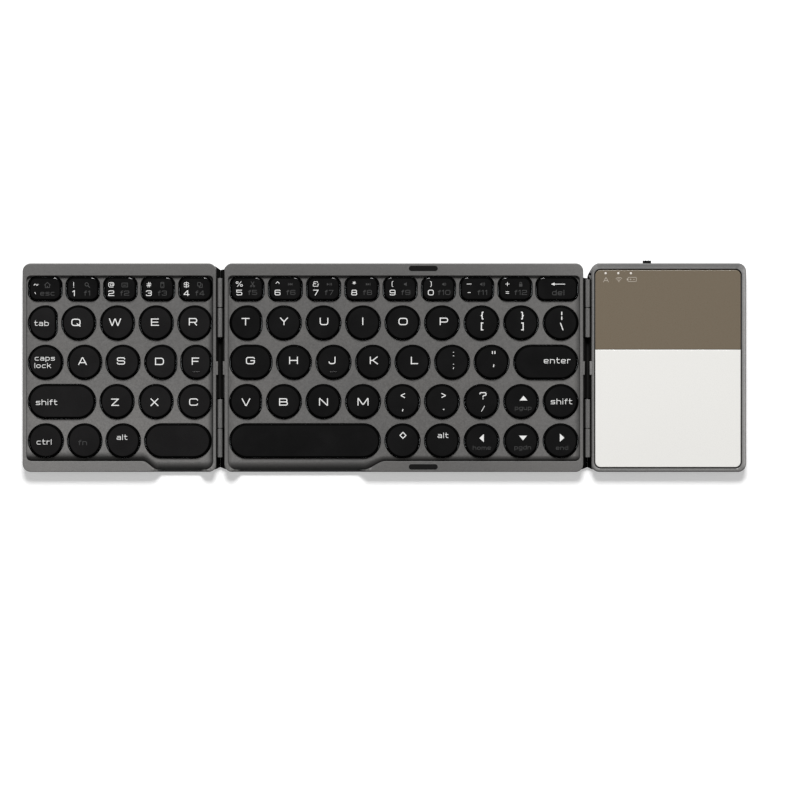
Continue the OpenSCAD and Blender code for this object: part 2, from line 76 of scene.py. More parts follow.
# ---------------------------------------------------------------- outlines
def rounded(x0, x1, y0, y1, rl, rr, n=10, c=0.0):
    """Rounded rectangle, anticlockwise, made smaller by c all round."""
    x0, x1, y0, y1, rl, rr = x0 + c, x1 - c, y0 + c, y1 - c, rl - c, rr - c
    pts = []
    for cx, cy, r, a in (
        (x0 + rl, y0 + rl, rl, 180),
        (x1 - rr, y0 + rr, rr, 270),
        (x1 - rr, y1 - rr, rr, 0),
        (x0 + rl, y1 - rl, rl, 90),
    ):
        for i in range(n + 1):
            t = math.radians(a + 90 * i / n)
            pts.append((cx + r * math.cos(t), cy + r * math.sin(t)))
    out = []
    for i, p in enumerate(pts):
        if i % (n + 1) == 0 and out and math.dist(p, out[-1]) < 0.04:
            continue
        out.append(p)
    if math.dist(out[0], out[-1]) < 0.04:
        out.pop()
    return out


def dense(loop, step):
    out = []
    for i, p in enumerate(loop):
        q = loop[(i + 1) % len(loop)]
        k = max(1, math.ceil(math.dist(p, q) / step - 1e-6))
        out += [(p[0] + (q[0] - p[0]) * j / k, p[1] + (q[1] - p[1]) * j / k) for j in range(k)]
    return out


def inset(loop, d):
    """A loop moved inwards by d at every corner; outwards where d is negative."""
    if abs(d) < 1e-9:
        return list(loop)
    n, out = len(loop), []
    for i in range(n):
        (ax, ay), (bx, by), (cx, cy) = loop[i - 1], loop[i], loop[(i + 1) % n]
        l1, l2 = math.hypot(bx - ax, by - ay), math.hypot(cx - bx, cy - by)
        n1, n2 = (-(by - ay) / l1, (bx - ax) / l1), (-(cy - by) / l2, (cx - bx) / l2)
        mx, my = n1[0] + n2[0], n1[1] + n2[1]
        k = 2 * d / max(mx * mx + my * my, 1.0)
        out.append((bx + mx * k, by + my * k))
    return out


def arc(cx, cy, r, a0, a1, n):
    return [
        (cx + r * math.cos(math.radians(a0 + (a1 - a0) * i / n)), cy + r * math.sin(math.radians(a0 + (a1 - a0) * i / n)))
        for i in range(n + 1)
    ]


def ess(xa, xc, ya, yc, n=16):
    return [(xa + (xc - xa) * i / n, ya + (yc - ya) * (1 - math.cos(math.pi * i / n)) / 2) for i in range(n + 1)]


def smooth(t):
    t = min(1.0, max(0.0, t))
    return t * t * (3 - 2 * t)


def inside(loop, x, y):
    hit, j = False, len(loop) - 1
    for i in range(len(loop)):
        xi, yi = loop[i]
        xj, yj = loop[j]
        if (yi > y) != (yj > y) and x < (xj - xi) * (y - yi) / (yj - yi) + xi:
            hit = not hit
        j = i
    return hit


# ---------------------------------------------------------------- mesh making
class Make:
    """Gathers vertices in millimetres and faces, and makes one object of them."""

    def __init__(self):
        self.v, self.f, self.m, self.flat = [], [], [], []

    def ring(self, loop, z):
        """Adds a loop's points; z is a height or a function of x and y. Returns their numbers."""
        k = len(self.v)
        self.v += [(x, y, z(x, y) if callable(z) else z) for x, y in loop]
        return list(range(k, len(self.v)))

    def face(self, ids, mat=0):
        self.f.append(tuple(ids))
        self.m.append(mat)

    def wall(self, a, b, mat=0):
        """Quads between two rings of the same length, facing out of an anticlockwise loop where b is above a."""
        n = len(a)
        for i in range(n):
            j = (i + 1) % n
            self.face((a[i], a[j], b[j], b[i]), mat)

    def plane(self, outer, holes, up=True, extra=(), z=None, mat=0):
        """Fills the flat or nearly flat region between rings. extra are further points inside it, at height z(x, y)."""
        ids = list(outer) + [i for h in holes for i in h]
        if extra:
            ids += self.ring(extra, z)
        pts = [Vector(self.v[i][:2]) for i in ids]
        edges, k = [], 0
        for r in [outer, *holes]:
            n = len(r)
            edges += [(k + i, k + (i + 1) % n) for i in range(n)]
            k += n
        vs, _, fs, ov, _, _ = delaunay_2d_cdt(pts, edges, [], 0, 1e-6)
        back = []
        for p, o in zip(vs, ov):
            if o:
                back.append(ids[o[0]])
            else:
                self.v.append((p.x, p.y, z(p.x, p.y) if callable(z) else self.v[outer[0]][2]))
                back.append(len(self.v) - 1)
        ol = [self.v[i][:2] for i in outer]
        hl = [[self.v[i][:2] for i in h] for h in holes]
        boxes = [(min(p[0] for p in h), max(p[0] for p in h), min(p[1] for p in h), max(p[1] for p in h)) for h in hl]
        for t in fs:
            x, y = sum(vs[i].x for i in t) / len(t), sum(vs[i].y for i in t) / len(t)
            if not inside(ol, x, y):
                continue
            if any(b[0] < x < b[1] and b[2] < y < b[3] and inside(h, x, y) for h, b in zip(hl, boxes)):
                continue
            t = [back[i] for i in t]
            if len(set(t)) < 3:
                continue
            (ax, ay), (bx, by), (cx, cy) = (self.v[i][:2] for i in t[:3])
            if ((bx - ax) * (cy - ay) - (by - ay) * (cx - ax) > 0) != up:
                t.reverse()
            self.face(t, mat)

    def prism(self, loop, z0, z1, bev=0.0, mat=0, low=True):
        """An upright solid with rounded upper and lower edges."""
        if bev:
            steps = [(bev, 0.0), (bev * 0.3, bev * 0.3), (0.0, bev)] if low else [(0.0, 0.0)]
            prof = [(c, z0 + d) for c, d in steps] + [(0.0, z1 - bev), (bev * 0.3, z1 - bev * 0.3), (bev, z1)]
        else:
            prof = [(0.0, z0), (0.0, z1)]
        rings = [self.ring(inset(loop, c), z) for c, z in prof]
        for a, b in zip(rings, rings[1:]):
            self.wall(a, b, mat)
        self.face(reversed(rings[0]), mat)
        self.face(rings[-1], mat)

    def box(self, lo, hi, bev=0.0, mat=0):
        self.prism([(lo[0], lo[1]), (hi[0], lo[1]), (hi[0], hi[1]), (lo[0], hi[1])], lo[2], hi[2], bev, mat)

    def tube_y(self, ax, az, prof, n=32, mat=0):
        """A solid turned about a line along Y; prof is [(y, radius), ...] going round the section."""
        rings = []
        for y, r in prof:
            k = len(self.v)
            for i in range(n):
                t = 2 * math.pi * i / n
                self.v.append((ax + r * math.sin(t), y, az + r * math.cos(t)))
            rings.append(list(range(k, k + n)))
        for a, b in zip(rings, rings[1:] + rings[:1]):
            for i in range(n):
                j = (i + 1) % n
                self.face((a[i], a[j], b[j], b[i]), mat)

    def turned(self, cx, cy, prof, n=32, mat=0):
        """A solid turned about an upright line; prof is [(radius, z), ...] from bottom centre to top centre."""
        rings = []
        for r, z in prof:
            if r < 1e-6:
                self.v.append((cx, cy, z))
                rings.append([len(self.v) - 1])
            else:
                k = len(self.v)
                self.v += [(cx + r * math.cos(2 * math.pi * i / n), cy + r * math.sin(2 * math.pi * i / n), z) for i in range(n)]
                rings.append(list(range(k, k + n)))
        for a, b in zip(rings, rings[1:]):
            for i in range(n):
                j = (i + 1) % n
                if len(a) == 1:
                    self.face((a[0], b[j], b[i]), mat)
                elif len(b) == 1:
                    self.face((a[i], a[j], b[0]), mat)
                else:
                    self.face((a[i], a[j], b[j], b[i]), mat)

    def object(self, name, mats, body=None, smooth_deg=50, weighted=True):
        mesh = bpy.data.meshes.new(name)
        mesh.from_pydata([(x * MM, y * MM, z * MM) for x, y, z in self.v], [], self.f)
        for m in mats:
            mesh.materials.append(m)
        mesh.polygons.foreach_set("material_index", self.m)
        bm = bmesh.new()
        bm.from_mesh(mesh)
        bmesh.ops.remove_doubles(bm, verts=bm.verts, dist=2e-7)
        bmesh.ops.recalc_face_normals(bm, faces=bm.faces)
        for e in bm.edges:
            if len(e.link_faces) == 2 and e.calc_face_angle(0) > math.radians(smooth_deg):
                e.smooth = False
        for f in bm.faces:
            f.smooth = True
        bm.to_mesh(mesh)
        bm.free()
        o = bpy.data.objects.new(name, mesh)
        bpy.context.scene.collection.objects.link(o)
        if weighted:
            w = o.modifiers.new("normals", "WEIGHTED_NORMAL")
            w.keep_sharp = True
            w.weight = 100
        if body:
            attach(o, body)
        return o


# ---------------------------------------------------------------- where the keys are
def span(x0, a, b, y, h, rl, rr):
    return (x0 + a, x0 + b, y, h, rl, rr)


def round_key(x0, c, w, y):
    return (x0 + c - w / 2, x0 + c + w / 2, y, w if w > 15.8 else HOLE, w / 2, w / 2)


COL = [153.9 - 18.1 * (7 - k) for k in range(8)]
KEYS = {}  # name: (opening, CAD node)


def put(node, names, holes):
    for n, h in zip(names.split(), holes):
        KEYS[n] = (h, node)


put("left_number_keys", "backquote 1 2 3 4", [span(XL0, 2.7 + 17.2 * i, 17.9 + 17.2 * i, Y1, 11.2, 3.7, 3.7) for i in range(5)])
put("tab_key", "tab", [span(XL0, 2.6, 15.75, Y2, HOLE, HR, 5)])
put("left_upper_letter_keys", "q w e r", [round_key(XL0, 25.65 + 17.73 * i, 15.5, Y2) for i in range(4)])
put("caps_lock_key", "caps_lock", [round_key(XL0, 10.52, 15.85, Y3)])
put("left_home_letter_keys", "a s d f", [
    round_key(XL0, 28.38, 15.55, Y3), round_key(XL0, 45.9, 15.5, Y3), span(XL0, 55.85, 70.45, Y3, HOLE, HR, 6.5),
    round_key(XL0, 79.48, 14.05, Y3)])
put("left_shift_key", "left_shift", [span(XL0, 2.6, 33.35, Y4, HOLE, HR, HR)])
put("left_lower_letter_keys", "z x c", [round_key(XL0, 43.2 + 17.83 * i, 15.5, Y4) for i in range(3)])
put("ctrl_key", "ctrl", [round_key(XL0, 10.6, 15.95, Y5)])
put("fn_key", "fn", [round_key(XL0, 28.38, 15.6, Y5)])
put("left_alt_key", "left_alt", [round_key(XL0, 46, 15.65, Y5)])
put("left_space_key", "left_space", [span(XL0, 55.85, 86.3, Y5, HOLE, HR, HR)])
LEFT_KEYS = list(KEYS)
put("right_number_keys", "5 6 7 8 9 0 minus equal", [span(XM0, 2.6 + 17.53 * i, 18 + 17.53 * i, Y1, 11.2, 3.7, 3.7) for i in range(8)])
put("delete_key", "delete", [span(XM0, 142.65, 161.8, Y1, 11.2, 3.7, 3.7)])
put("right_upper_letter_keys", "t y u i o p bracket_open bracket_close backslash",
    [span(XM0, 2.5, 17.05, Y2, HOLE, HR, 6.4)] + [round_key(XM0, c, 15.9, Y2) for c in COL])
put("right_home_letter_keys", "g h j k l semicolon quote",
    [span(XM0, 2.5, 21.65, Y3, HOLE, 7.4, 7.4)] + [round_key(XM0, 31.8 + 18.1 * k, 15.9, Y3) for k in range(6)])
put("enter_key", "enter", [span(XM0, 132.45, 161.8, Y3, HOLE, HR, HR)])
put("right_lower_letter_keys", "v b n m comma period slash",
    [span(XM0, 2.3, 16.9, Y4, HOLE, HR, 6.4)] + [round_key(XM0, COL[k], 15.9, Y4) for k in range(6)])
put("up_arrow_key", "up", [round_key(XM0, COL[6], 15.9, Y4)])
put("right_shift_key", "right_shift", [round_key(XM0, COL[7], 15.9, Y4)])
put("right_space_key", "right_space", [span(XM0, 2.3, 71.3, Y5, HOLE, HR, HR)])
put("right_modifier_keys", "meta right_alt", [round_key(XM0, COL[k], 15.9, Y5) for k in (3, 4)])
put("left_arrow_key", "left", [round_key(XM0, COL[5], 15.9, Y5)])
put("down_arrow_key", "down", [round_key(XM0, COL[6], 15.9, Y5)])
put("right_arrow_key", "right", [round_key(XM0, COL[7], 15.9, Y5)])
MIDDLE_KEYS = [k for k in KEYS if k not in LEFT_KEYS]


def key_loop(h, c, n=12):
    return rounded(h[0], h[1], h[2] - h[3] / 2, h[2] + h[3] / 2, h[4], h[5], n, c)


# ---------------------------------------------------------------- top frames and bottom covers
NEAR = -42.85  # the well's front wall


class Panel:
    """One key panel: where its well and its front scoop lie, and how high deck and rim stand at a place."""

    def __init__(self, x0, x1, rl, rr, keys, scoop_left):
        self.x0, self.x1, self.rl, self.rr, self.keys = x0, x1, rl, rr, keys
        if scoop_left:  # the scoop starts at the panel's left corner
            a, b = x0 + 1.6, x1 - 1.5
            self.well = (
                arc(a + 4, -42.8, 4, 180, 270, 14) + ess(x0 + 63.4, x0 + 73.9, -46.8, NEAR, 22)
                + arc(b - 2.2, NEAR + 2.2, 2.2, 270, 360, 8) + arc(b - 2, 40.1, 2, 0, 90, 8) + arc(a + 2, 40.1, 2, 90, 180, 8))
            self.sx = (x0 + 4.2, x0 + 7.4, x0 + 61.2, x0 + 65.2)
            self.wide = (x0 - 1, x0, x0 + 63.4, x0 + 73.9)
        else:
            a, b = x0 + 1.8, x1 - 1.35
            self.well = (
                arc(a + 2.2, NEAR + 2.2, 2.2, 180, 270, 8) + ess(x0 + 54.7, x0 + 62, NEAR, -46.8, 22)
                + arc(b - 4, -42.8, 4, 270, 360, 14) + arc(b - 2, 40.1, 2, 0, 90, 8) + arc(a + 2, 40.1, 2, 90, 180, 8))
            self.sx = (x0 + 60.0, x0 + 63.6, x1 - 7.6, x1 - 4.4)
            self.wide = (x0 + 54.7, x0 + 62, x1, x1 + 1)
        self.outer_n = 10

    def outer(self, c):
        return dense(rounded(self.x0, self.x1, -YB, YB, self.rl, self.rr, self.outer_n, 0.0), 2.0) if c == 0 else inset(self.outer(0), c)

    def scoop(self, x):
        """1 where the deck runs over the front edge, 0 elsewhere."""
        a, b, c, d = self.sx
        return smooth((x - a) / (b - a)) * smooth((d - x) / (d - c))

    def broad(self, x):
        a, b, c, d = self.wide
        return smooth((x - a) / (b - a)) * smooth((d - x) / (d - c))

    def front(self, x):
        """Where the deck's roll-down ends, and how long it is."""
        s = self.broad(x)
        return NEAR - (YB + NEAR) * s, 2.6 + 2.2 * s

    def deck(self, x, y):
        edge, reach = self.front(x)
        u = min(1.0, max(0.0, (edge + reach - y) / reach))
        tilt = math.radians(50)
        return DECK - reach * -math.log(math.cos(tilt * u)) / tilt

    def shade(self, x, y, z):
        """Painted light and shade for the frame paint: a slow painted light gradient over the panel, and painted shade
        where the deck falls away to the well's walls.
        """
        left = self.x0 < XM0
        # painted light: a slow gradient of brightness over the panel, standing in for how the light falls on it
        if left:
            painted_light = (1.0 + 0.24 * smooth((14 - y) / 66)) * (0.868 - 0.0015 * x - 0.0029 * y)
        else:
            painted_light = 0.90 + (0.13 if x < 8 else 0.22) * ((x - 8) / 80) ** 2 - (0.001 + 0.0028 * smooth((10 - x) / 80)) * y
        a, b = self.well[0][0], max(q[0] for q in self.well)
        if z > self.deck(x, y) + 0.5 and self.scoop(x) < 0.5 or not a - 0.01 < x < b + 0.01 or y > 42.2:
            return painted_light
        # painted shade: darker towards the well's front wall, and beside its right and left walls
        wide = self.broad(x)
        start, reach, power = (0.7, 3.9 + 0.3 * wide, 1.55) if left else (0.1 + 0.45 * wide, 2.5 + 1.7 * wide, 1.0 + 0.35 * wide)
        t = min(1.0, max(0.0, (y - self.front(x)[0] - start) / reach))
        f = 0.03 + 0.97 * t ** power
        if left:
            f *= 0.06 + 0.94 * min(1.0, max(0.0, (b - x - 0.3) / 2.2))
        else:
            f *= 0.32 + 0.68 * min(1.0, max(0.0, (b - x) / 2.4))
        f *= 1.0 - (0.15 if left else 0.45) * (1.0 - min(1.0, max(0.0, (x - a) / 0.75)))
        return painted_light * f

    def under(self, x, y):
        return min(DECK_LOW, self.deck(x, y) - 0.75)

    def rim(self, x, y):
        t = self.scoop(x) * smooth((-45.6 - y) / 0.9)
        return RIM - (RIM - self.deck(x, max(y, -YB))) * t

    def level(self, h):
        """A height function: h is 0 on the deck and 1.6 on the rim."""
        return lambda x, y: self.deck(x, y) + (self.rim(x, y) - self.deck(x, y)) * h / 1.6


def paint_light_and_shade(o, fn):
    """Writes painted light and shade at each point, as a factor on the colour of the paints that read it."""
    painted_light = o.data.attributes.new("shade", "FLOAT", "POINT")
    painted_light.data.foreach_set("value", [fn(v.co.x / MM, v.co.y / MM, v.co.z / MM) for v in o.data.vertices])
    return o


def round_edge(r, n=4):
    """Steps of a rounded edge, as (inset, drop) from the side to the top."""
    return [(r - r * math.cos(math.pi / 2 * i / n), r - r * math.sin(math.pi / 2 * i / n)) for i in range(n + 1)]


def top_frame(p, name, node, body, mats, stops):
    m = Make()
    outer = p.outer(0)
    rings = [m.ring(inset(outer, 0.15), SEAM), m.ring(outer, SEAM + 0.15)]
    for c, d in round_edge(0.4):
        rings.append(m.ring(inset(outer, c), (lambda dd: lambda x, y: p.rim(x, y) - dd * min(1.0, max(0.02, (p.rim(x, y) - SEAM - 0.25) / 3.5)))(d)))
    for a, b in zip(rings, rings[1:]):
        m.wall(a, b)
    # the well: rounded upper edge, wall, fillet into the deck
    well = dense(p.well, 1.6)
    wr = []
    for c, h in ((-0.13, 1.6), (-0.08, 1.585), (-0.03, 1.54), (0.0, 1.47), (0.0, 0.34), (0.06, 0.14), (0.16, 0.035), (0.34, 0.0)):
        wr.append(m.ring(inset(well, c), p.level(h)))
    m.plane(rings[-1], [wr[0]])
    for a, b in zip(wr, wr[1:]):
        n = len(a)
        for i in range(n):
            j = (i + 1) % n
            m.face((a[i], a[j], b[j], b[i]))
    # key openings with a small rounded edge, widened at the sides; its faces take the near-black gap paint, a painted
    # shadow ring round each key
    tops, lows = [], []
    for k in p.keys:
        h = KEYS[k][0]
        hr = []
        a, b = min(q[0] for q in p.well) + 0.37, max(q[0] for q in p.well) - 0.37
        for c, cy, d in ((0.38, 0.12, 0.0), (0.16, 0.08, 0.03), (0.04, 0.03, 0.1), (0.0, 0.0, 0.22)):
            mx, hw, hh = (h[0] + h[1]) / 2, (h[1] - h[0]) / 2, h[3] / 2
            kl = (mx - max(h[0] - c, min(h[0] - c * 0.1, a))) / hw
            kr = (min(h[1] + c, max(h[1] + c * 0.1, b)) - mx) / hw
            wide = [(mx + (x - mx) * (kl if x < mx else kr), h[2] + (y - h[2]) * (hh + cy) / hh) for x, y in key_loop(h, 0.0, 10)]
            hr.append(m.ring(wide, (lambda dd: lambda x, y: p.deck(x, y) - dd)(d)))
        hr.append(m.ring(key_loop(h, 0.0, 10), p.under))
        for a, b in zip(hr, hr[1:]):
            for i in range(len(a)):
                j = (i + 1) % len(a)
                m.face((a[i], a[j], b[j], b[i]), 1)
        tops.append(hr[0])
        lows.append(hr[-1])
    # points where the deck rolls down
    inner = [m.v[i][:2] for i in wr[-1]]
    holes = [[m.v[i][:2] for i in t] for t in tops]
    extra = []
    x = p.x0 + 2.0
    while x < p.x1:
        edge, reach = p.front(x)
        for u in (-0.72, -0.48, -0.24, 0.0, 0.14, 0.28, 0.42, 0.55, 0.67, 0.78, 0.88, 0.95):
            y = edge + reach - reach * u
            if inside(inner, x, y) and not any(inside(h, x, y) for h in holes):
                near = min(
                    min(abs(x - q[0]) + abs(y - q[1]) for q in inner),
                    min(abs(x - q[0]) + abs(y - q[1]) for h in holes for q in h if abs(q[1] - y) < 2) if any(abs(q[1] - y) < 2 for h in holes for q in h) else 9)
                if near > 0.22:
                    extra.append((x, y))
        x += 1.3
    # more points near the well's right wall, where the painted shade changes
    right = max(q[0] for q in p.well)
    for d in (0.75, 1.25, 1.9, 2.55):
        y = -38.6
        while y < 41.2:
            if not any(inside(h, right - d, y) for h in holes) and min(abs(right - d - q[0]) + abs(y - q[1]) for h in holes for q in h) > 0.25:
                extra.append((right - d, y))
            y += 1.1
    m.plane(wr[-1], tops, extra=extra, z=p.deck)
    # underside
    box = dense(rounded(p.x0 + 1.5, p.x1 - 1.5, -43.3, 43.3, 1, 1, 3), 3.0)
    up, down = m.ring(box, p.under), m.ring(box, SEAM)
    inner = [m.v[i][:2] for i in up]
    lines = [(x, y) for y in (-42.8, -42.1, -40.6, -39.8, -38.9) for x in (p.x0 + 2.6 + 2.0 * i for i in range(int((p.x1 - p.x0 - 4) / 2)))
             if inside(inner, x, y) and not any(inside(h, x, y) for h in holes)]
    m.plane(up, lows, up=False, extra=lines, z=p.under)
    for i in range(len(up)):
        j = (i + 1) % len(up)
        m.face((up[i], up[j], down[j], down[i]))
    m.plane(rings[0], [down], up=False)
    for x0, x1 in stops:
        m.box((x0, -3.3, 4.9), (x1, 2.9, RIM - 0.02), 0.18)
    o = m.object(name, mats, body)
    # painted light and shade on the frame above the seam, plain below it
    paint_light_and_shade(o, lambda x, y, z: p.shade(x, y, z) if z > 1.6 else 1.0)
    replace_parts(o, node)
    return o


def cover(name, node, body, mats, x0, x1, rl, rr, strips, screws, feet, py=43.3, reach=1.77, ends={}):
    """Bottom cover; strips are the sides (-1, 1) where it reaches under a hinge, to about half the gap."""
    m = Make()

    def outline(c):
        loop = []
        base = rounded(x0, x1, -YB, YB, rl, rr, 10)
        for i, (x, y) in enumerate(base):
            nx, ny = base[(i + 1) % len(base)]
            side = 1 if x > (x0 + x1) / 2 else -1
            if side in strips and abs(x - (x1 if side > 0 else x0)) < 0.75:
                continue
            loop.append((x, y))
            edge = x1 if side > 0 else x0
            nxt = abs(nx - edge) < 0.75 and (1 if nx > (x0 + x1) / 2 else -1) == side and side in strips
            if nxt:
                ax = edge + side * reach
                far = [(edge + side * q, h) for q, h in ends.get(side, [(-0.1, 46.25), (reach, 44.8)])]
                pts = far + [(ax, -45.6), (edge - side * 0.1, -46.5)]
                loop += pts if side < 0 else pts[::-1]
        return inset(dense(loop, 2.5), c)

    rings = [m.ring(outline(c), z) for c, z in (
        (0.5, 0.4), (0.28, 0.435), (0.12, 0.53), (0.03, 0.67), (0.0, 0.85), (0.0, SEAM - 0.15), (0.15, SEAM))]
    for a, b in zip(rings, rings[1:]):
        m.wall(a, b)
    seats = []
    for q in feet:
        ring = [(q[0] + 3.02 * math.cos(2 * math.pi * i / 32), q[1] + 3.02 * math.sin(2 * math.pi * i / 32)) for i in range(32)]
        a, b = m.ring(ring, 0.4), m.ring(ring, 0.6)
        for i in range(32):
            j = (i + 1) % 32
            m.face((a[i], a[j], b[j], b[i]))
        m.face(reversed(b))
        seats.append(a)
    for q in screws:
        loops = []
        for r, z in ((1.5, 0.4), (1.4, 0.5), (1.4, 1.0)):
            loops.append(m.ring([(q[0] + r * math.cos(2 * math.pi * i / 24), q[1] + r * math.sin(2 * math.pi * i / 24)) for i in range(24)], z))
        for a, b in zip(loops, loops[1:]):
            for i in range(24):
                j = (i + 1) % 24
                m.face((a[i], a[j], b[j], b[i]))
        m.face(reversed(loops[-1]))
        seats.append(loops[0])
    m.plane(rings[0], seats, up=False)
    box = [(x0 + 1.5, -py), (x1 - 1.5, -py), (x1 - 1.5, py), (x0 + 1.5, py)]
    up, down = m.ring(box, SEAM), m.ring(box, 1.1)
    line_up = [(x1 if s > 0 else x0, -46 + 2 * i) for s in strips for i in range(47) if -46 + 2 * i < ends.get(s, [(0, 47)])[-1][1] - 0.3]
    m.plane(rings[-1], [up], extra=line_up, z=lambda x, y: SEAM)
    for i in range(4):
        j = (i + 1) % 4
        m.face((up[i], up[j], down[j], down[i]))
    m.face(down)
    # the strips under the hinges take the near-black gap paint: painted shadow in the hinge gap
    for i, f in enumerate(m.f):
        c = sum(m.v[j][0] for j in f) / len(f)
        if (c > x1 + 0.01 or c < x0 - 0.01) and min(m.v[j][2] for j in f) > 0.84:
            m.m[i] = 1
    o = m.object(name, mats, body)
    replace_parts(o, node)
    return o


# ---------------------------------------------------------------- materials
def new_material(name, color, rough, metal=0.0, spec=0.5):
    mat = bpy.data.materials.new(name)
    mat.use_nodes = True
    nt = mat.node_tree
    nt.nodes.clear()
    out = nt.nodes.new("ShaderNodeOutputMaterial")
    bsdf = nt.nodes.new("ShaderNodeBsdfPrincipled")
    nt.links.new(bsdf.outputs["BSDF"], out.inputs["Surface"])
    bsdf.inputs["Base Color"].default_value = (*color, 1)
    bsdf.inputs["Roughness"].default_value = rough
    bsdf.inputs["Metallic"].default_value = metal
    bsdf.inputs["Specular IOR Level"].default_value = spec
    coord = nt.nodes.new("ShaderNodeTexCoord")
    return mat, nt, bsdf, coord.outputs["Object"]


def noise(nt, coord, scale, detail=2.0, rough=0.5, stretch=None):
    n = nt.nodes.new("ShaderNodeTexNoise")
    n.inputs["Scale"].default_value = scale
    n.inputs["Detail"].default_value = detail
    n.inputs["Roughness"].default_value = rough
    if stretch:
        mp = nt.nodes.new("ShaderNodeMapping")
        mp.inputs["Scale"].default_value = stretch
        nt.links.new(coord, mp.inputs["Vector"])
        coord = mp.outputs["Vector"]
    nt.links.new(coord, n.inputs["Vector"])
    return n.outputs["Fac"]


def spread(nt, fac, lo, hi, a=0.3, b=0.7):
    r = nt.nodes.new("ShaderNodeMapRange")
    r.inputs["From Min"].default_value = a
    r.inputs["From Max"].default_value = b
    r.inputs["To Min"].default_value = lo
    r.inputs["To Max"].default_value = hi
    nt.links.new(fac, r.inputs["Value"])
    return r.outputs["Result"]


def shades(nt, fac, stops):
    r = nt.nodes.new("ShaderNodeValToRGB")
    e = r.color_ramp.elements
    while len(e) < len(stops):
        e.new(0.5)
    for x, (p, c) in zip(e, stops):
        x.position = p
        x.color = (*c, 1)
    nt.links.new(fac, r.inputs["Fac"])
    return r.outputs["Color"]


def mixed(nt, fac, a, b, blend="MIX"):
    m = nt.nodes.new("ShaderNodeMix")
    m.data_type = "RGBA"
    m.blend_type = blend
    ins = {s.identifier: s for s in m.inputs}
    for key, v in (("Factor_Float", fac), ("A_Color", a), ("B_Color", b)):
        if isinstance(v, (int, float)):
            ins[key].default_value = v
        elif isinstance(v, tuple):
            ins[key].default_value = (*v, 1)
        else:
            nt.links.new(v, ins[key])
    return [o for o in m.outputs if o.identifier == "Result_Color"][0]


def bump(nt, bsdf, height, strength, distance, under=None):
    b = nt.nodes.new("ShaderNodeBump")
    b.inputs["Strength"].default_value = strength
    b.inputs["Distance"].default_value = distance
    nt.links.new(height, b.inputs["Height"])
    if under:
        nt.links.new(under, b.inputs["Normal"])
    nt.links.new(b.outputs["Normal"], bsdf.inputs["Normal"])
    return b.outputs["Normal"]


def grey(v, warm=0.0):
    return (v * (1 + warm), v, v * (1 - warm))


def speckled(name, base, rough, metal, flake=0.16, warm=0.012, reads_painted_light=False):
    """Metallic paint over a cast shell: fine light and dark flakes, and slow cloudy change of colour and gloss; with
    reads_painted_light its colour is scaled by the mesh's painted light and shade.
    """
    mat, nt, bsdf, co = new_material(name, grey(base, warm), rough, metal)
    fine = noise(nt, co, 4600, 1.0)
    mid = noise(nt, co, 1500, 2.0)
    slow = noise(nt, co, 42, 3.0)
    a = shades(nt, fine, [(0.30, grey(base * (1 - flake), warm)), (0.5, grey(base, warm)), (0.72, grey(base * (1 + flake * 1.3), warm))])
    b = shades(nt, mid, [(0.30, grey(0.88)), (0.70, grey(1.0))])
    c = mixed(nt, 1.0, a, b, "MULTIPLY")
    d = shades(nt, slow, [(0.35, grey(0.95)), (0.65, grey(1.0, 0.01))])
    e = mixed(nt, 1.0, c, d, "MULTIPLY")
    # painted light and shade: the colour is multiplied by the mesh's shade attribute
    if reads_painted_light:
        at_node = nt.nodes.new("ShaderNodeAttribute")
        at_node.attribute_name = "shade"
        scale = nt.nodes.new("ShaderNodeVectorMath")
        scale.operation = "SCALE"
        nt.links.new(e, scale.inputs[0])
        nt.links.new(at_node.outputs["Fac"], scale.inputs["Scale"])
        e = scale.outputs["Vector"]
    nt.links.new(e, bsdf.inputs["Base Color"])
    nt.links.new(spread(nt, mid, rough - 0.06, rough + 0.07), bsdf.inputs["Roughness"])
    low = bump(nt, bsdf, mid, 0.25, 0.00002)
    bump(nt, bsdf, fine, 0.35, 0.000012, low)
    return mat


def plastic(name, color, rough, spec=0.5, grain=0.2, size=2600, vary=0.12):
    """Moulded plastic or rubber with a fine spark-eroded texture and slightly uneven gloss."""
    mat, nt, bsdf, co = new_material(name, color, rough, 0.0, spec)
    fine = noise(nt, co, size, 2.0)
    slow = noise(nt, co, 90, 3.0)
    lo, hi = tuple(c * (1 - vary) for c in color), tuple(c * (1 + vary) for c in color)
    a = shades(nt, fine, [(0.32, lo), (0.68, hi)])
    b = shades(nt, slow, [(0.35, grey(0.93)), (0.65, grey(1.0))])
    nt.links.new(mixed(nt, 1.0, a, b, "MULTIPLY"), bsdf.inputs["Base Color"])
    nt.links.new(spread(nt, slow, rough - 0.03, rough + 0.04), bsdf.inputs["Roughness"])
    bump(nt, bsdf, fine, grain, 0.00002)
    return mat


def metal(name, color, rough, along=None, spec=0.5):
    """Bare or plated metal with fine working marks; along stretches them in one direction."""
    mat, nt, bsdf, co = new_material(name, color, rough, 1.0, spec)
    marks = noise(nt, co, 1, 3.0, 0.6, along or (2400, 2400, 2400))
    slow = noise(nt, co, 160, 2.0)
    nt.links.new(shades(nt, marks, [(0.3, tuple(c * 0.86 for c in color)), (0.7, tuple(min(1, c * 1.06) for c in color))]), bsdf.inputs["Base Color"])
    nt.links.new(spread(nt, slow, rough - 0.05, rough + 0.08), bsdf.inputs["Roughness"])
    bump(nt, bsdf, marks, 0.15, 0.00001)
    return mat


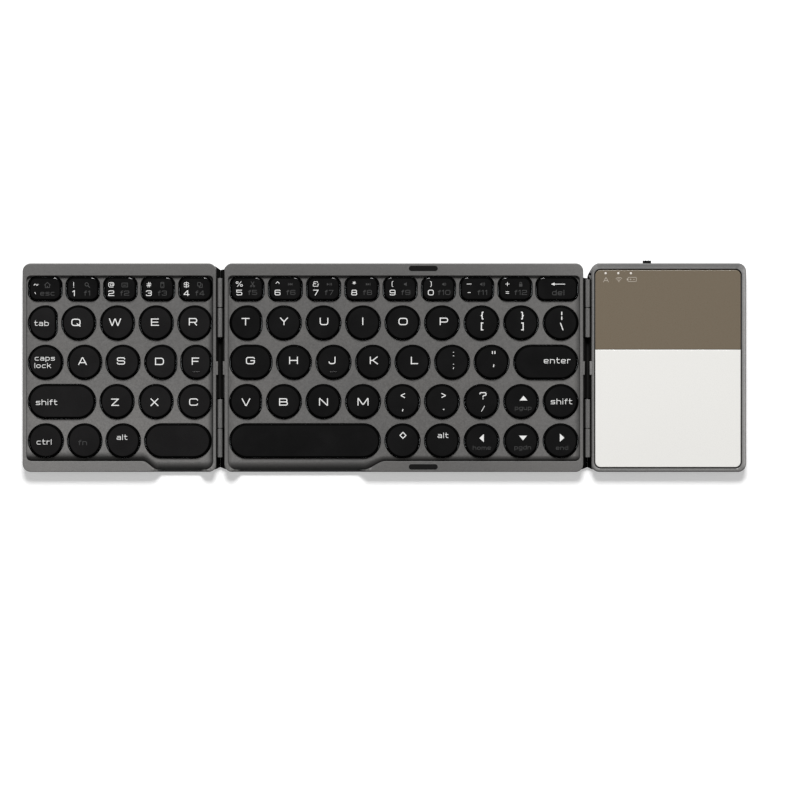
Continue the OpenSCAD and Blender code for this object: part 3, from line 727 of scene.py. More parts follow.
def back_painted(name, color, vary=0.02):
    """Clear glass with paint behind it: even colour, smooth front."""
    mat, nt, bsdf, co = new_material(name, color, 0.28, 0.0, 0.35)
    slow = noise(nt, co, 14, 1.0)
    fine = noise(nt, co, 3000, 1.0)
    lo = tuple(c * (1 - vary) for c in color)
    a = shades(nt, slow, [(0.0, lo), (1.0, tuple(c * (1 + vary) for c in color))])
    b = shades(nt, fine, [(0.3, grey(0.965)), (0.7, grey(1.0))])
    nt.links.new(mixed(nt, 1.0, a, b, "MULTIPLY"), bsdf.inputs["Base Color"])
    nt.links.new(spread(nt, fine, 0.26, 0.30, 0.1, 0.9), bsdf.inputs["Roughness"])
    bsdf.inputs["Coat Weight"].default_value = 0.3
    bsdf.inputs["Coat Roughness"].default_value = 0.12
    return mat


def circuit(name):
    """Solder-masked board: green lacquer with faint tracks and gold pads."""
    mat, nt, bsdf, co = new_material(name, (0.02, 0.09, 0.04), 0.35, 0.0, 0.5)
    v = nt.nodes.new("ShaderNodeTexVoronoi")
    v.feature, v.distance = "F1", "CHEBYCHEV"
    v.inputs["Scale"].default_value = 420
    nt.links.new(co, v.inputs["Vector"])
    tracks = noise(nt, co, 1, 1.0, 0.5, (90, 1400, 1400))
    a = shades(nt, tracks, [(0.45, (0.012, 0.07, 0.03)), (0.55, (0.03, 0.14, 0.06))])
    pads = spread(nt, v.outputs["Distance"], 1.0, 0.0, 0.10, 0.13)
    nt.links.new(mixed(nt, pads, a, (0.62, 0.45, 0.16)), bsdf.inputs["Base Color"])
    bump(nt, bsdf, tracks, 0.2, 0.00003)
    return mat


def painted_glow(name, color, strength):
    """A frosted light guide with a faint glow of its own: painted light, with no lamp modelled behind it."""
    mat, nt, bsdf, co = new_material(name, color, 0.35, 0.0, 0.4)
    fine = noise(nt, co, 2500, 2.0)
    nt.links.new(shades(nt, fine, [(0.3, tuple(c * 0.94 for c in color)), (0.7, color)]), bsdf.inputs["Base Color"])
    bsdf.inputs["Emission Color"].default_value = (*color, 1)
    bsdf.inputs["Emission Strength"].default_value = strength
    return mat


M = {
    # the frame, light frame, edge and hinge paints carry painted light and shade from each mesh's shade attribute
    "frame": speckled("gunmetal_paint", 0.130, 0.46, 0.35, warm=0.02, reads_painted_light=True),
    "cover": speckled("gunmetal_cover_paint", 0.125, 0.50, 0.30),
    "touch_frame": speckled("light_gunmetal_paint", 0.215, 0.42, 0.35, reads_painted_light=True),
    # a darker copy of the light frame paint for its rounded outer edge: painted shade
    "edge": speckled("edge_gunmetal_painted_shade", 0.150, 0.48, 0.35, reads_painted_light=True),
    "groove": plastic("groove_shadow", (0.028, 0.027, 0.026), 0.6, 0.2, 0.2),
    "key": plastic("key_plastic", (0.0045, 0.0044, 0.0045), 0.26, 0.30, 0.14),
    # a lighter copy of the key plastic for the left wing's keys: painted light
    "key_left": plastic("left_key_plastic_painted_light", (0.0082, 0.0078, 0.0080), 0.27, 0.30, 0.14),
    "key_number": plastic("number_key_plastic", (0.0040, 0.0039, 0.0040), 0.26, 0.24, 0.12),
    # a near-black matt copy of the key plastic for the keys' sides and rounded top edges: painted shade round each key
    "key_edge_painted_shade": plastic("key_edge_plastic_painted_shade", (0.0008, 0.0008, 0.0008), 0.8, 0.03, 0.1),
    "key_gloss": plastic("key_edge_gloss", (0.0030, 0.0029, 0.0030), 0.20, 0.45, 0.1),
    "print": plastic("legend_white", (0.68, 0.68, 0.67), 0.55, 0.3, 0.05, vary=0.04),
    "print_dim": plastic("legend_grey", (0.042, 0.042, 0.042), 0.55, 0.2, 0.05, vary=0.06),
    "mark": plastic("panel_mark", (0.40, 0.36, 0.31), 0.5, 0.3, 0.05, vary=0.04),
    "black": plastic("black_plastic", (0.0035, 0.0033, 0.0031), 0.5, 0.2, 0.3),
    # near-black paint put in key openings, under the hinges and beside the barrels: painted shadow
    "gap": plastic("gap_painted_shadow", (0.0016, 0.0015, 0.0014), 0.7, 0.04, 0.3),
    "rubber": plastic("soft_rubber", (0.004, 0.0038, 0.0036), 0.75, 0.12, 0.4, 1500, 0.2),
    "cable": plastic("cable_film", (0.0035, 0.0033, 0.0031), 0.5, 0.15, 0.1, 900, 0.15),
    "hinge": speckled("hinge_paint", 0.172, 0.38, 0.5, reads_painted_light=True),
    "taupe": back_painted("taupe_panel", (0.141, 0.1145, 0.082)),
    "white": back_painted("white_panel", (0.682, 0.674, 0.650), 0.01),
    "steel": metal("polished_steel", (0.55, 0.55, 0.53), 0.28, (900, 5200, 900)),
    "pin": metal("burnished_steel", (0.05, 0.05, 0.05), 0.45, (900, 5200, 900)),
    "screw": metal("screw_steel", (0.20, 0.20, 0.20), 0.35),
    "port": metal("socket_steel", (0.50, 0.50, 0.49), 0.30, (600, 4000, 4000)),
    "gold": metal("contact_gold", (0.78, 0.55, 0.22), 0.25),
    "plate": metal("rolled_steel", (0.34, 0.35, 0.35), 0.40, (300, 5200, 5200)),
    "foil": metal("battery_foil", (0.62, 0.63, 0.64), 0.42, (700, 700, 700)),
    "film": plastic("membrane_film", (0.42, 0.45, 0.46), 0.30, 0.5, 0.05, 600, 0.1),
    "dome": plastic("dome_rubber", (0.52, 0.52, 0.49), 0.55, 0.4, 0.2, 1200, 0.06),
    "scissor": plastic("scissor_plastic", (0.60, 0.60, 0.57), 0.42, 0.4, 0.15, 1800, 0.05),
    "board": circuit("circuit_board"),
    "guide": painted_glow("light_guide", (0.60, 0.56, 0.51), 0.08),
}


# ---------------------------------------------------------------- panels
LEFT = Panel(XL0, XL1, 3.8, 3.5, LEFT_KEYS, False)
MIDDLE = Panel(XM0, XM1, 3.5, 3.5, MIDDLE_KEYS, True)
top_frame(LEFT, "left_frame_shell", "left_top_frame", "left_wing", [M["frame"], M["gap"]], [(XL1 - 0.2, XL1 + 0.85)])
top_frame(MIDDLE, "middle_frame_shell", "middle_top_frame", "middle_panel", [M["frame"], M["gap"]], [(XM0 - 0.7, XM0 + 0.2), (XM1 - 0.2, XM1 + 0.7)])
cover("left_cover_shell", "left_bottom_cover", "left_wing", [M["cover"], M["gap"]], XL0, XL1, 3.8, 3.5, (1,),
    [(XL0 + 6, 45.2), (XL0 + 45, 45.2), (XL1 - 6, 45.2), (XL0 + 6, -45.2), (XL0 + 45, -45.2)],
    [(XL0 + 12, 38), (XL0 + 12, -38), (XL1 - 14, -38), (XL1 - 14, 38)])
cover("middle_cover_shell", "middle_bottom_cover", "middle_panel", [M["cover"], M["gap"]], XM0, XM1, 3.5, 3.5, (-1, 1),
    [(XM0 + 6, 45.2), (XM0 + 55, 45.2), (XM0 + 120, 45.2), (XM1 - 6, 45.2), (XM0 + 82, -45.2), (XM0 + 120, -45.2), (XM1 - 6, -45.2)],
    [(XM0 + 14, 38), (XM0 + 14, -38), (XM1 - 14, 38), (XM1 - 14, -38)], reach=2.0,
    ends={-1: [(-0.1, 46.1), (0.3, 45.1), (2.0, 44.8)], 1: [(-0.35, 46.0), (-0.03, 44.4), (0.0, 41.7), (0.35, 41.2), (2.0, 41.0)]})




# ---------------------------------------------------------------- lettering drawn with strokes
# A glyph is (width, strokes). A stroke is (points, corner radius, closed). Units: cap height, or ascender height.
S = 0.155


def glyphs():
    def caps(w):
        return S / 2, w - S / 2

    g = {}
    T, B, MID = 1 - S / 2, S / 2, 0.5
    L, R = caps(1.22)
    g["A"] = (1.22, [([(0.07, 0), (0.585, 1)], 0, 0), ([(1.15, 0), (0.635, 1)], 0, 0), ([(0.26, 0.3), (0.96, 0.3)], 0, 0)])
    g["B"] = (1.2, [([(L, 0), (L, 1)], 0, 0), ([(L, T), (R - 0.08, T), (R - 0.08, MID + 0.01), (L, MID + 0.01)], 0.2, 0),
        ([(L, MID), (R - 0.02, MID), (R - 0.02, B), (L, B)], 0.22, 0)])
    g["C"] = (1.2, [([(R, 0.7), (R, T), (L, T), (L, B), (R, B), (R, 0.3)], 0.25, 0)])
    g["D"] = (1.22, [([(L, 0), (L, 1)], 0, 0), ([(L, T), (R, T), (R, B), (L, B)], 0.32, 0)])
    g["E"] = (1.08, [([(L, 0), (L, 1)], 0, 0), ([(0, T), (1.06, T)], 0, 0), ([(0, MID), (0.98, MID)], 0, 0), ([(0, B), (1.08, B)], 0, 0)])
    g["F"] = (1.0, [([(L, 0), (L, 1)], 0, 0), ([(0, T), (1.0, T)], 0, 0), ([(0, 0.48), (0.9, 0.48)], 0, 0)])
    g["G"] = (1.25, [([(R, 0.73), (R, T), (L, T), (L, B), (R, B), (R, 0.5)], 0.25, 0), ([(0.62, 0.5), (R + S / 2, 0.5)], 0, 0)])
    g["H"] = (1.2, [([(L, 0), (L, 1)], 0, 0), ([(R - 0.02, 0), (R - 0.02, 1)], 0, 0), ([(L, MID), (R, MID)], 0, 0)])
    g["I"] = (S, [([(S / 2, 0), (S / 2, 1)], 0, 0)])
    g["J"] = (0.95, [([(0.95 - S / 2, 1), (0.95 - S / 2, B), (L, B), (L, 0.36)], 0.26, 0)])
    g["K"] = (1.15, [([(L, 0), (L, 1)], 0, 0), ([(L, 0.5), (0.42, 0.5)], 0, 0), ([(0.36, 0.47), (1.05, 1)], 0, 0), ([(0.36, 0.53), (1.09, 0)], 0, 0)])
    g["L"] = (0.98, [([(L, 0), (L, 1)], 0, 0), ([(0, B), (0.98, B)], 0, 0)])
    g["M"] = (1.5, [([(L, 0), (L, 1)], 0, 0), ([(1.5 - S / 2, 0), (1.5 - S / 2, 1)], 0, 0), ([(0.1, 1), (0.72, 0.12)], 0, 0), ([(1.4, 1), (0.78, 0.12)], 0, 0)])
    g["N"] = (1.22, [([(L, 0), (L, 1)], 0, 0), ([(R, 0), (R, 1)], 0, 0), ([(0.1, 0.98), (1.12, 0.02)], 0, 0)])
    g["O"] = (1.26, [([(L, B), (R + 0.04, B), (R + 0.04, T), (L, T)], 0.3, 1)])
    g["P"] = (1.15, [([(L, 0), (L, 1)], 0, 0), ([(L, T), (R - 0.07, T), (R - 0.07, 0.4), (L, 0.4)], 0.24, 0)])
    g["Q"] = (1.26, [([(L, B), (R + 0.04, B), (R + 0.04, T), (L, T)], 0.3, 1), ([(0.74, 0.34), (1.24, -0.04)], 0, 0)])
    g["R"] = (1.15, [([(L, 0), (L, 1)], 0, 0), ([(L, T), (R - 0.07, T), (R - 0.07, 0.42), (L, 0.42)], 0.24, 0), ([(0.72, 0.42), (1.08, 0)], 0, 0)])
    g["S"] = (1.14, [([(1.06, 0.7), (1.06, T), (L, T), (L, 0.51), (1.06, 0.51), (1.06, B), (L, B), (L, 0.3)], 0.19, 0)])
    g["T"] = (1.06, [([(0, T), (1.06, T)], 0, 0), ([(0.53, 0), (0.53, 1)], 0, 0)])
    g["U"] = (1.18, [([(L, 1), (L, B), (1.18 - S / 2, B), (1.18 - S / 2, 1)], 0.28, 0)])
    g["V"] = (1.22, [([(0.07, 1), (0.585, 0)], 0, 0), ([(1.15, 1), (0.635, 0)], 0, 0)])
    g["W"] = (1.68, [([(0.07, 1), (0.46, 0)], 0, 0), ([(0.46, 0), (0.82, 0.97)], 0, 0), ([(0.86, 0.97), (1.22, 0)], 0, 0), ([(1.22, 0), (1.61, 1)], 0, 0)])
    g["X"] = (1.2, [([(0.09, 1), (1.11, 0)], 0, 0), ([(0.09, 0), (1.11, 1)], 0, 0)])
    g["Y"] = (1.16, [([(0.07, 1), (0.58, 0.46)], 0, 0), ([(1.09, 1), (0.58, 0.46)], 0, 0), ([(0.58, 0), (0.58, 0.5)], 0, 0)])
    g["Z"] = (1.1, [([(0.03, T), (1.07, T)], 0, 0), ([(0.03, B), (1.08, B)], 0, 0), ([(0.98, 0.92), (0.12, 0.08)], 0, 0)])
    R = 1.05 - S / 2
    g["0"] = (1.05, [([(L, B), (R, B), (R, T), (L, T)], 0.26, 1)])
    g["1"] = (0.5, [([(0.38, 0), (0.38, 1)], 0, 0), ([(0.04, 0.72), (0.38, 0.96)], 0, 0)])
    g["2"] = (1.05, [([(L, 0.7), (L, T), (R, T), (R, 0.5), (L, 0.42), (L, B)], 0.17, 0), ([(0, B), (1.05, B)], 0, 0)])
    g["3"] = (1.05, [([(L, 0.74), (L, T), (R, T), (R, 0.51), (0.4, 0.51)], 0.18, 0), ([(0.4, 0.51), (R, 0.51), (R, B), (L, B), (L, 0.27)], 0.2, 0)])
    g["4"] = (1.05, [([(0.76, 0), (0.76, 1)], 0, 0), ([(0.72, 0.96), (0.1, 0.3)], 0, 0), ([(0.03, 0.27), (1.05, 0.27)], 0, 0)])
    g["5"] = (1.05, [([(1.0, T), (L, T)], 0, 0), ([(L, 1), (L, 0.52)], 0, 0), ([(L, 0.56), (R, 0.56), (R, B), (L, B), (L, 0.24)], 0.2, 0)])
    g["6"] = (1.05, [([(R, 0.76), (R, T), (L, T), (L, B), (R, B), (R, 0.54), (L, 0.54)], 0.2, 0)])
    g["7"] = (1.0, [([(0.02, T), (0.96, T)], 0, 0), ([(0.9, 0.93), (0.36, 0)], 0, 0)])
    g["8"] = (1.05, [([(L + 0.04, 0.51), (R - 0.04, 0.51), (R - 0.04, T), (L + 0.04, T)], 0.18, 1), ([(L, B), (R, B), (R, 0.51), (L, 0.51)], 0.18, 1)])
    g["9"] = (1.05, [([(L, 0.24), (L, B), (R, B), (R, T), (L, T), (L, 0.46), (R, 0.46)], 0.2, 0)])
    # marks
    dot = lambda x, y, r=0.085: ([(x - r, y), (x + r, y)], 0, 0)
    g["!"] = (0.16, [([(0.08, 0.3), (0.08, 1)], 0, 0), ([(0.08, 0), (0.08, 0.17)], 0, 0)])
    g["@"] = (1.1, [([(0.86, 0.3), (0.86, 0.68), (0.36, 0.68), (0.36, 0.32), (0.86, 0.32)], 0.1, 0),
        ([(0.86, 0.3), (1.03, 0.3), (1.03, T), (L, T), (L, B), (0.95, B)], 0.26, 0)])
    g["#"] = (0.9, [([(0.28, 0.02), (0.42, 0.98)], 0, 0), ([(0.56, 0.02), (0.7, 0.98)], 0, 0), ([(0.02, 0.34), (0.86, 0.34)], 0, 0), ([(0.06, 0.66), (0.9, 0.66)], 0, 0)])
    g["$"] = (1.0, [([(0.92, 0.7), (0.92, 0.88), (L, 0.88), (L, 0.5), (0.92, 0.5), (0.92, 0.12), (L, 0.12), (L, 0.3)], 0.15, 0), ([(0.5, -0.06), (0.5, 1.06)], 0, 0)])
    g["%"] = (1.3, [([(L, 0.6), (0.44, 0.6), (0.44, 0.92), (L, 0.92)], 0.12, 1), ([(0.86, 0.08), (1.22, 0.08), (1.22, 0.4), (0.86, 0.4)], 0.12, 1), ([(0.28, 0.02), (1.02, 0.98)], 0, 0)])
    g["^"] = (0.8, [([(0.06, 0.58), (0.4, 0.94)], 0, 0), ([(0.74, 0.58), (0.4, 0.94)], 0, 0)])
    g["&"] = (1.15, [([(0.9, 0.72), (0.9, 0.92), (0.2, 0.92), (0.2, 0.55), (0.62, 0.55)], 0.12, 0), ([(0.62, 0.54), (L, 0.54), (L, B), (0.95, B), (0.95, 0.55)], 0.14, 0), ([(0.95, 0.5), (1.13, 0.5)], 0, 0)])
    g["*"] = (0.7, [([(0.35, 0.42), (0.35, 1)], 0, 0), ([(0.08, 0.55), (0.62, 0.87)], 0, 0), ([(0.08, 0.87), (0.62, 0.55)], 0, 0)])
    g["("] = (0.34, [([(0.28, 1.02), (S / 2, 0.86), (S / 2, 0.14), (0.28, -0.02)], 0.16, 0)])
    g[")"] = (0.34, [([(0.06, 1.02), (0.34 - S / 2, 0.86), (0.34 - S / 2, 0.14), (0.06, -0.02)], 0.16, 0)])
    g["_"] = (0.86, [([(0, 0.5), (0.86, 0.5)], 0, 0)])
    g["-"] = (0.5, [([(0, 0.5), (0.5, 0.5)], 0, 0)])
    g["+"] = (0.72, [([(0, 0.5), (0.72, 0.5)], 0, 0), ([(0.36, 0.14), (0.36, 0.86)], 0, 0)])
    g["="] = (0.56, [([(0, 0.36), (0.56, 0.36)], 0, 0), ([(0, 0.64), (0.56, 0.64)], 0, 0)])
    g["~"] = (0.78, [([(0.02, 0.36), (0.12, 0.62), (0.36, 0.60), (0.44, 0.42), (0.66, 0.40), (0.76, 0.66)], 0.09, 0)])
    g["`"] = (0.3, [([(0.06, 0.95), (0.26, 0.62)], 0, 0)])
    g["["] = (0.32, [([(0.32, T), (S / 2, T), (S / 2, B), (0.32, B)], 0, 0), ([(S / 2, 0), (S / 2, 1)], 0, 0)])
    g["]"] = (0.32, [([(0, T), (0.32 - S / 2, T), (0.32 - S / 2, B), (0, B)], 0, 0), ([(0.32 - S / 2, 0), (0.32 - S / 2, 1)], 0, 0)])
    g["{"] = (0.36, [([(0.36, T), (0.19, T), (0.19, 0.56), (0.04, 0.5)], 0.07, 0), ([(0.04, 0.5), (0.19, 0.44), (0.19, B), (0.36, B)], 0.07, 0)])
    g["}"] = (0.36, [([(0, T), (0.17, T), (0.17, 0.56), (0.32, 0.5)], 0.07, 0), ([(0.32, 0.5), (0.17, 0.44), (0.17, B), (0, B)], 0.07, 0)])
    g["|"] = (0.16, [([(0.08, 0.58), (0.08, 1)], 0, 0), ([(0.08, 0), (0.08, 0.42)], 0, 0)])
    g["\\"] = (0.5, [([(0.07, 1), (0.43, 0)], 0, 0)])
    g["/"] = (0.7, [([(0.63, 1), (0.07, 0)], 0, 0)])
    g[":"] = (0.17, [dot(0.085, 0.78), dot(0.085, 0.22)])
    g[";"] = (0.2, [dot(0.1, 0.78), ([(0.12, 0.3), (0.05, 0.0)], 0, 0)])
    g["\""] = (0.5, [([(0.08, 0.62), (0.08, 1)], 0, 0), ([(0.42, 0.62), (0.42, 1)], 0, 0)])
    g["'"] = (0.25, [([(0.17, 0.95), (0.08, 0.6)], 0, 0)])
    g["<"] = (0.72, [([(0.7, 0.82), (0.06, 0.5)], 0, 0), ([(0.06, 0.5), (0.7, 0.18)], 0, 0)])
    g[">"] = (0.72, [([(0.02, 0.82), (0.66, 0.5)], 0, 0), ([(0.66, 0.5), (0.02, 0.18)], 0, 0)])
    g[","] = (0.25, [([(0.17, 0.22), (0.08, -0.14)], 0, 0)])
    g["."] = (0.2, [dot(0.1, 0.09, 0.095)])
    g["?"] = (1.0, [([(L, 0.7), (L, T), (0.92, T), (0.92, 0.56), (0.5, 0.48), (0.5, 0.26)], 0.16, 0), ([(0.5, 0), (0.5, 0.14)], 0, 0)])
    # small letters
    s = 0.165
    X, B, M2, L, R = 0.74 - s / 2, s / 2, 0.39, s / 2, 0.86 - s / 2
    stem = lambda x, a=0.0, b=1.0: ([(x, a), (x, b)], 0, 0)
    low = {
        "a": (0.86, [([(L + 0.03, X), (R, X), (R, 0)], 0.16, 0), ([(R, M2), (L, M2), (L, B), (R, B)], 0.13, 0)]),
        "b": (0.86, [stem(L), ([(L, X), (R, X), (R, B), (L, B)], 0.22, 0)]),
        "c": (0.84, [([(R, X), (L, X), (L, B), (R, B)], 0.22, 0)]),
        "d": (0.86, [stem(R), ([(R, X), (L, X), (L, B), (R, B)], 0.22, 0)]),
        "e": (0.86, [([(L, M2 - 0.02), (R, M2 - 0.02), (R, X), (L, X), (L, B), (R, B)], 0.17, 0)]),
        "f": (0.56, [([(0.56, 1 - s / 2), (0.22, 1 - s / 2), (0.22, 0)], 0.18, 0), ([(0, X), (0.54, X)], 0, 0)]),
        "g": (0.86, [([(R, X), (L, X), (L, B), (R, B)], 0.2, 0), ([(R, X + 0.08), (R, -0.2), (L, -0.2)], 0.16, 0)]),
        "h": (0.86, [stem(L), ([(L, X), (R, X), (R, 0)], 0.22, 0)]),
        "i": (s, [stem(s / 2, 0, 0.7), stem(s / 2, 0.86, 1.02)]),
        "k": (0.84, [stem(L), ([(0.1, 0.34), (0.74, 0.74)], 0, 0), ([(0.34, 0.46), (0.78, 0)], 0, 0)]),
        "l": (s, [stem(s / 2)]),
        "m": (1.22, [stem(L, 0, 0.74), ([(L, X), (0.61, X), (0.61, 0)], 0.18, 0), ([(0.61, X), (1.22 - s / 2, X), (1.22 - s / 2, 0)], 0.18, 0)]),
        "n": (0.86, [stem(L, 0, 0.74), ([(L, X), (R, X), (R, 0)], 0.22, 0)]),
        "o": (0.88, [([(L, B), (R + 0.02, B), (R + 0.02, X), (L, X)], 0.24, 1)]),
        "p": (0.86, [stem(L, -0.27, 0.74), ([(L, X), (R, X), (R, B), (L, B)], 0.22, 0)]),
        "r": (0.58, [stem(L, 0, 0.74), ([(L, 0.4), (L, X), (0.58, X)], 0.18, 0)]),
        "s": (0.82, [([(0.8, X), (L, X), (L, M2), (0.82 - s / 2, M2), (0.82 - s / 2, B), (0.02, B)], 0.13, 0)]),
        "t": (0.62, [([(0.2, 1.0), (0.2, B), (0.62, B)], 0.18, 0), ([(0, X), (0.6, X)], 0, 0)]),
        "u": (0.86, [([(L, 0.74), (L, B), (R, B)], 0.22, 0), stem(R, 0, 0.74)]),
    }
    g.update(low)
    return g


GLYPHS = glyphs()


def soften(pts, r, closed):
    """A polyline with its corners turned into arcs."""
    if not r:
        return list(pts)
    out, n = [], len(pts)
    for i, p in enumerate(pts):
        if not closed and i in (0, n - 1):
            out.append(p)
            continue
        a, b = pts[i - 1], pts[(i + 1) % n]
        u, v = (a[0] - p[0], a[1] - p[1]), (b[0] - p[0], b[1] - p[1])
        lu, lv = math.hypot(*u), math.hypot(*v)
        u, v = (u[0] / lu, u[1] / lu), (v[0] / lv, v[1] / lv)
        ang = math.acos(max(-1, min(1, u[0] * v[0] + u[1] * v[1])))
        t = min(r / math.tan(ang / 2), lu * (0.5 if closed or i > 1 else 0.98), lv * (0.5 if closed or i < n - 2 else 0.98))
        rr = t * math.tan(ang / 2)
        bis = (u[0] + v[0], u[1] + v[1])
        lb = math.hypot(*bis)
        if lb < 1e-6:
            out.append(p)
            continue
        d = rr / math.sin(ang / 2)
        c = (p[0] + bis[0] / lb * d, p[1] + bis[1] / lb * d)
        a0 = math.atan2(p[1] + u[1] * t - c[1], p[0] + u[0] * t - c[0])
        a1 = math.atan2(p[1] + v[1] * t - c[1], p[0] + v[0] * t - c[0])
        while a1 - a0 > math.pi:
            a1 -= 2 * math.pi
        while a1 - a0 < -math.pi:
            a1 += 2 * math.pi
        k = max(2, round(abs(a1 - a0) / 0.3))
        out += [(c[0] + rr * math.cos(a0 + (a1 - a0) * j / k), c[1] + rr * math.sin(a0 + (a1 - a0) * j / k)) for j in range(k + 1)]
    clean = [out[0]]
    for q in out[1:]:
        if math.dist(q, clean[-1]) > 1e-4:
            clean.append(q)
    if closed and math.dist(clean[0], clean[-1]) < 1e-4:
        clean.pop()
    return clean


def ribbon(pts, closed, w):
    """Quads along a polyline of width w, with discs at sharp turns."""
    n, polys = len(pts), []
    seg = [(pts[i], pts[(i + 1) % n]) for i in range(n if closed else n - 1)]
    nor = []
    for a, b in seg:
        l = math.dist(a, b)
        nor.append((-(b[1] - a[1]) / l, (b[0] - a[0]) / l))

    def offset(i, j):
        """Offset vector at the joint between segment i and segment j, or None where it is too sharp."""
        (ax, ay), (bx, by) = nor[i], nor[j]
        if ax * bx + ay * by < 0.5:
            return None
        mx, my = ax + bx, ay + by
        k = w / (mx * mx + my * my)
        return (mx * k, my * k)

    for i, (a, b) in enumerate(seg):
        own = (nor[i][0] * w / 2, nor[i][1] * w / 2)
        sa = offset(i - 1, i) if (closed or i > 0) else own
        sb = offset(i, (i + 1) % len(seg)) if (closed or i < len(seg) - 1) else own
        if sb is None:
            polys.append([(b[0] + w / 2 * math.cos(t * math.pi / 5), b[1] + w / 2 * math.sin(t * math.pi / 5)) for t in range(10)])
        sa, sb = sa or own, sb or own
        polys.append([(a[0] - sa[0], a[1] - sa[1]), (b[0] - sb[0], b[1] - sb[1]), (b[0] + sb[0], b[1] + sb[1]), (a[0] + sa[0], a[1] + sa[1])])
    return polys


def text_width(s, h, gap):
    return sum(GLYPHS[c][0] * h for c in s) + gap * (len(s) - 1)


def text(s, x, y, h, gap=None, anchor="c", weight=1.0):
    """Polygons of a word: x is its centre or its left edge, y its middle height, h its cap or ascender height."""
    gap = h * 0.16 if gap is None else gap
    w = text_width(s, h, gap)
    left = x - w / 2 if anchor == "c" else x
    base, out = y - h / 2, []
    for ch in s:
        gw, strokes = GLYPHS[ch]
        sw = (0.165 if ch.islower() else S) * h * weight
        for pts, r, closed in strokes:
            q = [(left + px * h, base + py * h) for px, py in soften(pts, r, closed)]
            out += ribbon(q, closed, sw)
        left += gw * h + gap
    return out


def line(pts, w=0.28, r=0.0, closed=False):
    return ribbon(soften(pts, r, closed), closed, w)


def circle(x, y, r, w=0.28, n=16):
    return ribbon([(x + r * math.cos(2 * math.pi * i / n), y + r * math.sin(2 * math.pi * i / n)) for i in range(n)], True, w)


def disc(x, y, r, n=16):
    return [[(x + r * math.cos(2 * math.pi * i / n), y + r * math.sin(2 * math.pi * i / n)) for i in range(n)]]


def moved(polys, x, y, k=1.0):
    return [[(px * k + x, py * k + y) for px, py in p] for p in polys]


def hull(p):
    """The convex outline of a few points, anticlockwise."""
    q = sorted(set((round(x, 6), round(y, 6)) for x, y in p))
    out = []
    for seq in (q, q[::-1]):
        part = []
        for c in seq:
            while len(part) > 1 and (part[-1][0] - part[-2][0]) * (c[1] - part[-2][1]) - (part[-1][1] - part[-2][1]) * (c[0] - part[-2][0]) <= 1e-9:
                part.pop()
            part.append(c)
        out += part[:-1]
    return out


def raised(m, polys, z0, z1, mat):
    """Adds the union of convex polygons as a thin raised layer."""
    pts, edges, shapes = [], [], []
    for p in polys:
        p = hull(p)
        if len(p) < 3:
            continue
        k = len(pts)
        edges += [(k + i, k + (i + 1) % len(p)) for i in range(len(p))]
        pts += [Vector(q) for q in p]
        shapes.append((min(x for x, _ in p), max(x for x, _ in p), min(y for _, y in p), max(y for _, y in p), p))
    if not pts:
        return
    vs, _, fs, _, _, _ = delaunay_2d_cdt(pts, edges, [], 0, 1e-4)

    def covered(x, y):
        for x0, x1, y0, y1, p in shapes:
            if x0 <= x <= x1 and y0 <= y <= y1 and all(
                (p[i][0] - p[i - 1][0]) * (y - p[i - 1][1]) - (p[i][1] - p[i - 1][1]) * (x - p[i - 1][0]) >= -1e-9 for i in range(len(p))):
                return True
        return False

    keep = []
    for f in fs:
        (ax, ay), (bx, by), (cx, cy) = (vs[i][:2] for i in f[:3])
        turn = (bx - ax) * (cy - ay) - (by - ay) * (cx - ax)
        if abs(turn) > 1e-9 and covered((ax + bx + cx) / 3, (ay + by + cy) / 3):
            keep.append(list(f) if turn > 0 else list(reversed(f)))
    used = sorted({i for f in keep for i in f})
    k = len(m.v)
    top = {i: k + n for n, i in enumerate(used)}
    m.v += [(vs[i].x, vs[i].y, z1) for i in used]
    k = len(m.v)
    low = {i: k + n for n, i in enumerate(used)}
    m.v += [(vs[i].x, vs[i].y, z0) for i in used]
    sides = set()
    for f in keep:
        m.face([top[i] for i in f], mat)
        m.face([low[i] for i in reversed(f)], mat)
        sides |= set(zip(f, f[1:] + f[:1]))
    for a, b in sorted(sides):
        if (b, a) not in sides:
            m.face((low[a], low[b], top[b], top[a]), mat)


